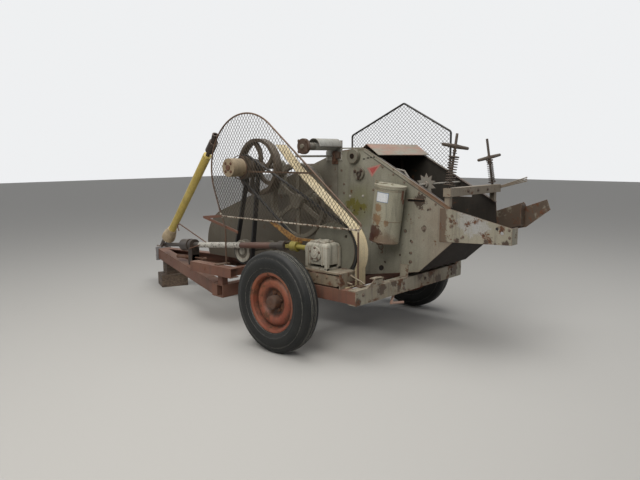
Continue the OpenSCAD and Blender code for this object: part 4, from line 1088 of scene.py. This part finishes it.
coat_node(dark_iron, "bearing_stand")
latch_x, hook_x = -0.352, -0.4
bm = bmesh.new()
rod(bm, [(latch_x, 1.1, 0.424), (latch_x, 1.32, 0.408)], 0.02, 18)
rod(bm, [(latch_x, 1.06, 0.425), (latch_x, 0.88, 0.43)], 0.008)
rod(bm, [(-0.375, 0.88, 0.43), (-0.33, 0.88, 0.43)], 0.012)
block(bm, (-0.392, 1.02, 0.395), (-0.31, 1.085, 0.455))
for x in (-0.385, -0.318):
    bolt(bm, (x, 1.05, 0.455), (0, 0, 1), 0.008)
rod(bm, [(hook_x - 0.005, 1.04, 0.52), (hook_x - 0.005, 0.88, 0.57), (hook_x, 0.764, 0.602),
         (hook_x, 1.2, 0.75), (hook_x, 1.232, 0.742), (hook_x, 1.236, 0.715), (hook_x, 1.216, 0.68)], 0.0055)
piece("stand_rods", bm, rusty_iron)

# The bevel gearbox: a pale cast case with corner posts, ribs, a bolted lid with its filler cap,
# a round cover on its left and a neck for the shaft in front.

box_x, box_y, box_z = -0.7, -1.02, 0.61
right_x, front_y, top_z = box_x + 0.15, box_y + 0.21, box_z + 0.19
case_in, post, foot_z, lid_z = 0.004, 0.026, box_z + 0.0003, top_z + 0.008
cover_y, cover_z = -0.91, 0.723
bm = bmesh.new()
block(bm, (box_x + case_in, box_y + case_in, box_z + 0.036), (right_x - case_in, front_y - case_in, top_z))
top_edges = [e for e in bm.edges if all(v.co.z > top_z - 0.01 for v in e.verts)]
bmesh.ops.bevel(bm, geom=top_edges, offset=0.026, segments=5, profile=0.5, affect="EDGES", material=-1)
for x in (box_x, right_x - post):
    for y in (box_y, front_y - post):
        block(bm, (x, y, foot_z), (x + post, y + post, top_z - 0.03))
block(bm, (box_x, box_y, foot_z), (right_x, front_y, box_z + 0.014))
for y in (-0.97, -0.85):
    block(bm, (box_x + 0.0015, y - 0.006, box_z + 0.03), (box_x + 0.006, y + 0.006, top_z - 0.024))
block(bm, (box_x + 0.022, box_y + 0.04, top_z - 0.001), (right_x - 0.022, front_y - 0.026, lid_z))
for y in (box_y + 0.052, box_y + 0.112, box_y + 0.172):
    for x in (box_x + 0.032, right_x - 0.032):
        bolt(bm, (x, y, lid_z), (0, 0, 1), 0.006)
cap = bmesh.ops.create_cone(bm, cap_ends=True, segments=8, radius1=0.026, radius2=0.024, depth=0.016)
bmesh.ops.translate(bm, verts=cap["verts"], vec=(box_x + 0.06, -0.96, top_z + 0.0145))
for radius, foot, deep in ((0.055, 0.0, 0.01), (0.034, 0.01, 0.008), (0.016, 0.018, 0.004)):
    barrel(bm, (box_x, cover_y, cover_z), left, 40, radius, radius * 0.95, deep, foot + deep / 2)
barrel(bm, (-0.625, front_y + 0.02, disc_z), (0, 1, 0), 40, 0.045, 0.04, 0.04)
bmesh.ops.recalc_face_normals(bm, faces=bm.faces)
piece("gearbox_casting", bm, casting, replaces=["gearbox"])

bm = bmesh.new()
bolt_ring(bm, box_x - 0.01, cover_y, cover_z, 0.044, 5, 18, 0.0065)
for y in (box_y + 0.012, front_y - 0.012):
    for x in (box_x + 0.013, right_x - 0.013):
        bolt(bm, (x, y, box_z + 0.014), (0, 0, 1), 0.007)
piece("gearbox_bolts", bm, bolt_steel)

# The skirt of the gearbox bracket: sheet cut to a shallow tray and bolted on,
# with the bent rods that come out under it.

skirt_x, skirt_t, rod_x = -0.716, 0.006, -0.64
skirt_edge = [(-1.158, 0.588), (-1.158, 0.53), (-1.12, 0.512), (-0.9, 0.512), (-0.83, 0.54), (-0.802, 0.588)]
bm = bmesh.new()
plate(bm, skirt_edge, "x", skirt_x, skirt_x + skirt_t)
block(bm, (skirt_x, -1.158, 0.54), (-0.56, -1.152, 0.598))
for y in (-1.12, -1.03, -0.94, -0.85):
    bolt(bm, (skirt_x, y, 0.57), left, 0.008)
rod(bm, [(rod_x, -1.12, 0.598), (rod_x, -1.137, 0.6), (rod_x, -1.15, 0.56), (rod_x, -1.15, 0.536),
         (rod_x, -1.205, 0.53)], 0.007)
rod(bm, [(-0.61, -1.162, 0.585), (-0.61, -1.29, 0.54)], 0.006)
piece("bracket_skirt", bm, beam_paint, smooth=False)

# The drive disc and the housing on top of the chamber: a pressed disc in grey paint, and a cast
# tube with a square flange at its outer end, dark with rust.

disc_grey = finish_of("disc_grey", (0.17, 0.165, 0.13), (0.11, 0.105, 0.08), rust=0.4, size=10.0, wear=0.5,
                      dust=0.1, rough=0.5)
coat_node(disc_grey, "drive_disc")


def dark_end(t, coat):
    """The housing's outer end is dark with rust, the cover behind it pale."""
    at = axes(t)
    coat = mixed(t, remap(t, at["X"], -0.365, -0.375), coat, (0.13, 0.12, 0.1))
    coat = mixed(t, remap(t, at["X"], -0.46, -0.47), coat, (0.065, 0.038, 0.024))
    return mixed(t, remap(t, at["Z"], 1.428, 1.424), coat, (0.4, 0.39, 0.34))


housing_paint = finish_of("housing_paint", (0.29, 0.29, 0.265), (0.23, 0.225, 0.2), rust=0.3, size=10.0,
                          wear=0.6, dust=0.12, streaks=0.4, rough=0.5, tint=dark_end)
coat_node(housing_paint, "top_housing")
dark_rust = finish_of("dark_rust", (0.045, 0.026, 0.018), (0.085, 0.055, 0.038), rust=0.25, size=20.0,
                      wear=0.4, dust=0.15, rough=0.65)

end_x, end_y, end_z = -0.494, -0.59, 1.49
bm = bmesh.new()
block(bm, (end_x, end_y - 0.05, end_z - 0.052), (end_x + 0.0045, end_y + 0.05, end_z + 0.052))
for y in (-0.038, 0.038):
    for z in (-0.04, 0.04):
        bolt(bm, (end_x, end_y + y, end_z + z), left, 0.008)
block(bm, (-0.128, -0.64, 1.396), (-0.092, -0.6, 1.45))
piece("housing_flange", bm, dark_rust, smooth=False)
bm = bmesh.new()
barrel(bm, (end_x - 0.006, end_y, end_z), left, 32, 0.02, 0.016, 0.012)
piece("housing_boss", bm, grey_iron)

# The belts: black rubber and cloth, matt, round the flywheel's pulley and the drive disc.

belt_black, shader = surface("belt_black")
t = belt_black.node_tree
cloth = noise(t, 60.0, 5.0, 0.6)
tone = mixed(t, remap(t, cloth, 0.4, 0.7), (0.01, 0.01, 0.011), (0.035, 0.032, 0.029))
t.links.new(tone, shader.inputs["Base Color"])
t.links.new(remap(t, cloth, 0.3, 0.7, 0.45, 0.75), shader.inputs["Roughness"])
coat_node(belt_black, "belts")

# The shafts: a long drive shaft with old bands of paint, and the folded input shaft, a yellow
# telescopic tube between forged yokes with a tan plastic cone at one end.

brown_y, white_y, dark_y, band_edge = 0.15, 0.92, -0.31, 0.005


def shaft_bands(t, coat):
    """Colours of the long drive shaft by its place, from its front: brown, white, brown and dark."""
    mess = noise(t, 30.0, 4.0, 0.6)
    y = plus(t, axes(t)["Y"], times(t, mess, 0.02))
    coat = mixed(t, remap(t, y, brown_y, brown_y - band_edge), (0.045, 0.035, 0.03), (0.105, 0.045, 0.03))
    chipped = mixed(t, remap(t, mess, 0.53, 0.6, 0.0, 0.8), (0.56, 0.54, 0.48), (0.07, 0.045, 0.03))
    white = remap(t, y, brown_y, brown_y + band_edge)
    coat = mixed(t, times(t, white, remap(t, y, white_y, white_y - band_edge)), coat, chipped)
    return mixed(t, remap(t, y, dark_y, dark_y - band_edge), coat, (0.04, 0.032, 0.026))


shaft_paint = finish_of("shaft_paint", (0.13, 0.06, 0.04), (0.16, 0.08, 0.05), rust=0.25, size=14.0,
                        wear=0.4, dust=0.2, streaks=0.1, rough=0.45, tint=shaft_bands)
coat_node(shaft_paint, "drive_shaft")
stub_green = finish_of("stub_yellow_green", (0.21, 0.19, 0.03), (0.27, 0.22, 0.045), rust=0.42, size=20.0,
                       wear=0.5, dust=0.1, rough=0.4)
coat_node(stub_green, "input_stub")
yellow = finish_of("tube_yellow", (0.52, 0.38, 0.07), (0.6, 0.47, 0.14), rust=0.3, size=14.0, wear=0.5,
                   dust=0.2, streaks=0.3, rough=0.45)
coat_node(yellow, "input_tube")
forged = finish_of("forged_steel", (0.035, 0.028, 0.024), (0.07, 0.05, 0.04), rust=0.4, size=22.0,
                   wear=0.6, dust=0.2, rough=0.45, metallic=0.4)
coat_node(forged, "input_yokes")
tan_plastic = finish_of("tan_cone", (0.42, 0.32, 0.2), (0.5, 0.4, 0.26), rust=0.12, size=12.0, wear=0.2,
                        dust=0.35, streaks=0.35, rough=0.55)
coat_node(tan_plastic, "input_cone")

# The twine can: rolled sheet with beads, a latch and a loose lid with its clasp, painted pale
# grey and rusting from below. It leans a little and bears a blank label.


def rust_from_below(t, coat):
    """Rust that climbs from the can's foot, and ragged stains on its side."""
    at = axes(t)
    low = plus(t, at["Z"], times(t, noise(t, 11.0, 7.0, 0.7), 0.3))
    low = plus(t, low, times(t, at["X"], 0.9))
    coat = mixed(t, remap(t, low, 0.8, 0.7, 0.0, 0.7), coat, (0.14, 0.075, 0.04))
    coat = blots(t, coat, [(-0.309, -1.14, 0.865, 0.055), (-0.3, -1.11, 0.82, 0.04)], (0.06, 0.018, 0.01))
    return blots(t, coat, [(-0.311, -1.16, 0.96, 0.04), (-0.313, -1.175, 1.04, 0.03),
                           (-0.3, -1.24, 0.93, 0.022)], (0.2, 0.105, 0.045), 0.8)


can_paint = finish_of("can_paint", (0.3, 0.285, 0.215), (0.36, 0.345, 0.27), rust=0.34, size=12.0,
                      wear=0.9, dust=0.1, streaks=0.5, rough=0.45, tint=rust_from_below)
coat_node(can_paint, "twine_can", "can_lid")

can_r = 0.112
can_top = Matrix.Translation((-0.2023, -1.205, 1.196)) @ Matrix.Rotation(radians(7.5), 4, "X")
upright = Matrix.Rotation(-pi / 2, 4, "Y")

bm = bmesh.new()
for height, thick in ((-0.026, 0.0022), (-0.408, 0.0032), (-0.25, 0.0014)):
    hoop = spun([(0.0, can_r - thick * 0.4), (thick, can_r - thick * 0.2),
                 (thick * 1.4, can_r + thick * 0.5), (0.0, can_r + thick),
                 (-thick * 1.4, can_r + thick * 0.5), (-thick, can_r - thick * 0.2)], 56)
    hoop.transform(Matrix.Translation((0, 0, height)) @ upright)
    join(bm, hoop)
bm.transform(can_top)
bmesh.ops.recalc_face_normals(bm, faces=bm.faces)
piece("can_hoops", bm, can_paint)

bm = bmesh.new()
block(bm, (-0.009, -can_r - 0.006, -0.085), (0.009, -can_r - 0.0004, -0.018))
rod(bm, [(0.0, -can_r - 0.009, -0.07), (0.0, -can_r - 0.011, -0.105), (0.01, -can_r - 0.01, -0.116),
         (0.016, -can_r - 0.008, -0.1), (0.014, -can_r - 0.008, -0.08)], 0.003)
bm.transform(can_top)
piece("can_latch", bm, rusty_iron)

ring_x, ring_y, ring_z, ring_r = -0.1, -1.05, 0.718, 0.021
bm = bmesh.new()
rod(bm, [(ring_x, y, z) for y, z in arc(ring_y, ring_z, ring_r, 0, 360, 18)], 0.0028)
rod(bm, [(ring_x + 0.0095, ring_y + 0.006, ring_z + 0.03), (ring_x - 0.004, ring_y + 0.006, ring_z + 0.028),
         (ring_x - 0.004, ring_y, ring_z + 0.012)], 0.0035)
rod(bm, [(ring_x, ring_y - 0.008, ring_z - ring_r), (ring_x, ring_y - 0.016, ring_z - 0.045),
         (ring_x - 0.002, ring_y + 0.004, ring_z - 0.05)], 0.0025)
piece("tie_ring", bm, rusty_iron)

cut_x, lid_top = 0.076, 0.0104
bm = bmesh.new()
skirt = spun([(0.0005, can_r + 0.0022), (0.0095, can_r + 0.0066), (0.01, can_r + 0.0068),
              (0.004, can_r + 0.0068), (-0.0125, can_r + 0.0062), (-0.0125, can_r + 0.0036),
              (0.0, can_r + 0.004)], 72)
skirt.transform(upright)
bmesh.ops.bisect_plane(skirt, geom=skirt.verts[:] + skirt.edges[:] + skirt.faces[:], plane_co=(cut_x, 0, 0),
                       plane_no=(1, 0, 0), clear_outer=True)
join(bm, skirt)
block(bm, (-0.04, 0.05, lid_top), (0.03, 0.108, 0.015))
block(bm, (-0.078, 0.078, lid_top), (-0.048, 0.084, 0.034))
knob = bmesh.ops.create_cone(bm, cap_ends=True, segments=20, radius1=0.01, radius2=0.007, depth=0.014)
bmesh.ops.translate(bm, verts=knob["verts"], vec=(-0.01, -0.02, 0.0172))
bm.transform(can_top)
bmesh.ops.recalc_face_normals(bm, faces=bm.faces)
piece("lid_skirt", bm, can_paint, "lid_body")

label_white = finish_of("label_white", (0.62, 0.64, 0.66), (0.7, 0.71, 0.72), rust=0.05, size=20.0,
                        wear=0.0, dust=0.1, streaks=0.2, rough=0.4)
label_blue = finish_of("label_blue", (0.08, 0.16, 0.3), (0.16, 0.24, 0.36), rust=0.05, size=20.0,
                       wear=0.0, dust=0.1, streaks=0.2, rough=0.4)
label_high, label_low, label_wide, label_from = -0.04, -0.112, radians(50), radians(-18)
for name, proud, spare, paint in (("label_edge", 0.0004, 0.0, label_blue),
                                  ("label_face", 0.0008, 0.0035, label_white)):
    bm = bmesh.new()
    bm.edges.new([bm.verts.new((-can_r - proud, 0, z)) for z in (label_high - spare, label_low + spare)])
    bmesh.ops.spin(bm, geom=bm.verts[:] + bm.edges[:], cent=(0, 0, 0), axis=(0, 0, 1),
                   angle=label_wide - spare * 16, steps=10)
    bm.transform(Matrix.Rotation(label_from + spare * 8, 4, "Z"))
    bmesh.ops.recalc_face_normals(bm, faces=bm.faces)
    bmesh.ops.solidify(bm, geom=bm.faces[:], thickness=0.0003)
    bm.transform(can_top)
    piece(name, bm, paint)

# The crank handle under the rear beam: a bent bar in pale red paint.

handle_paint = finish_of("handle_paint", (0.3, 0.16, 0.12), (0.4, 0.28, 0.22), rust=0.4, size=18.0,
                         wear=0.5, dust=0.2, rough=0.5)
coat_node(handle_paint, "crank_handle")
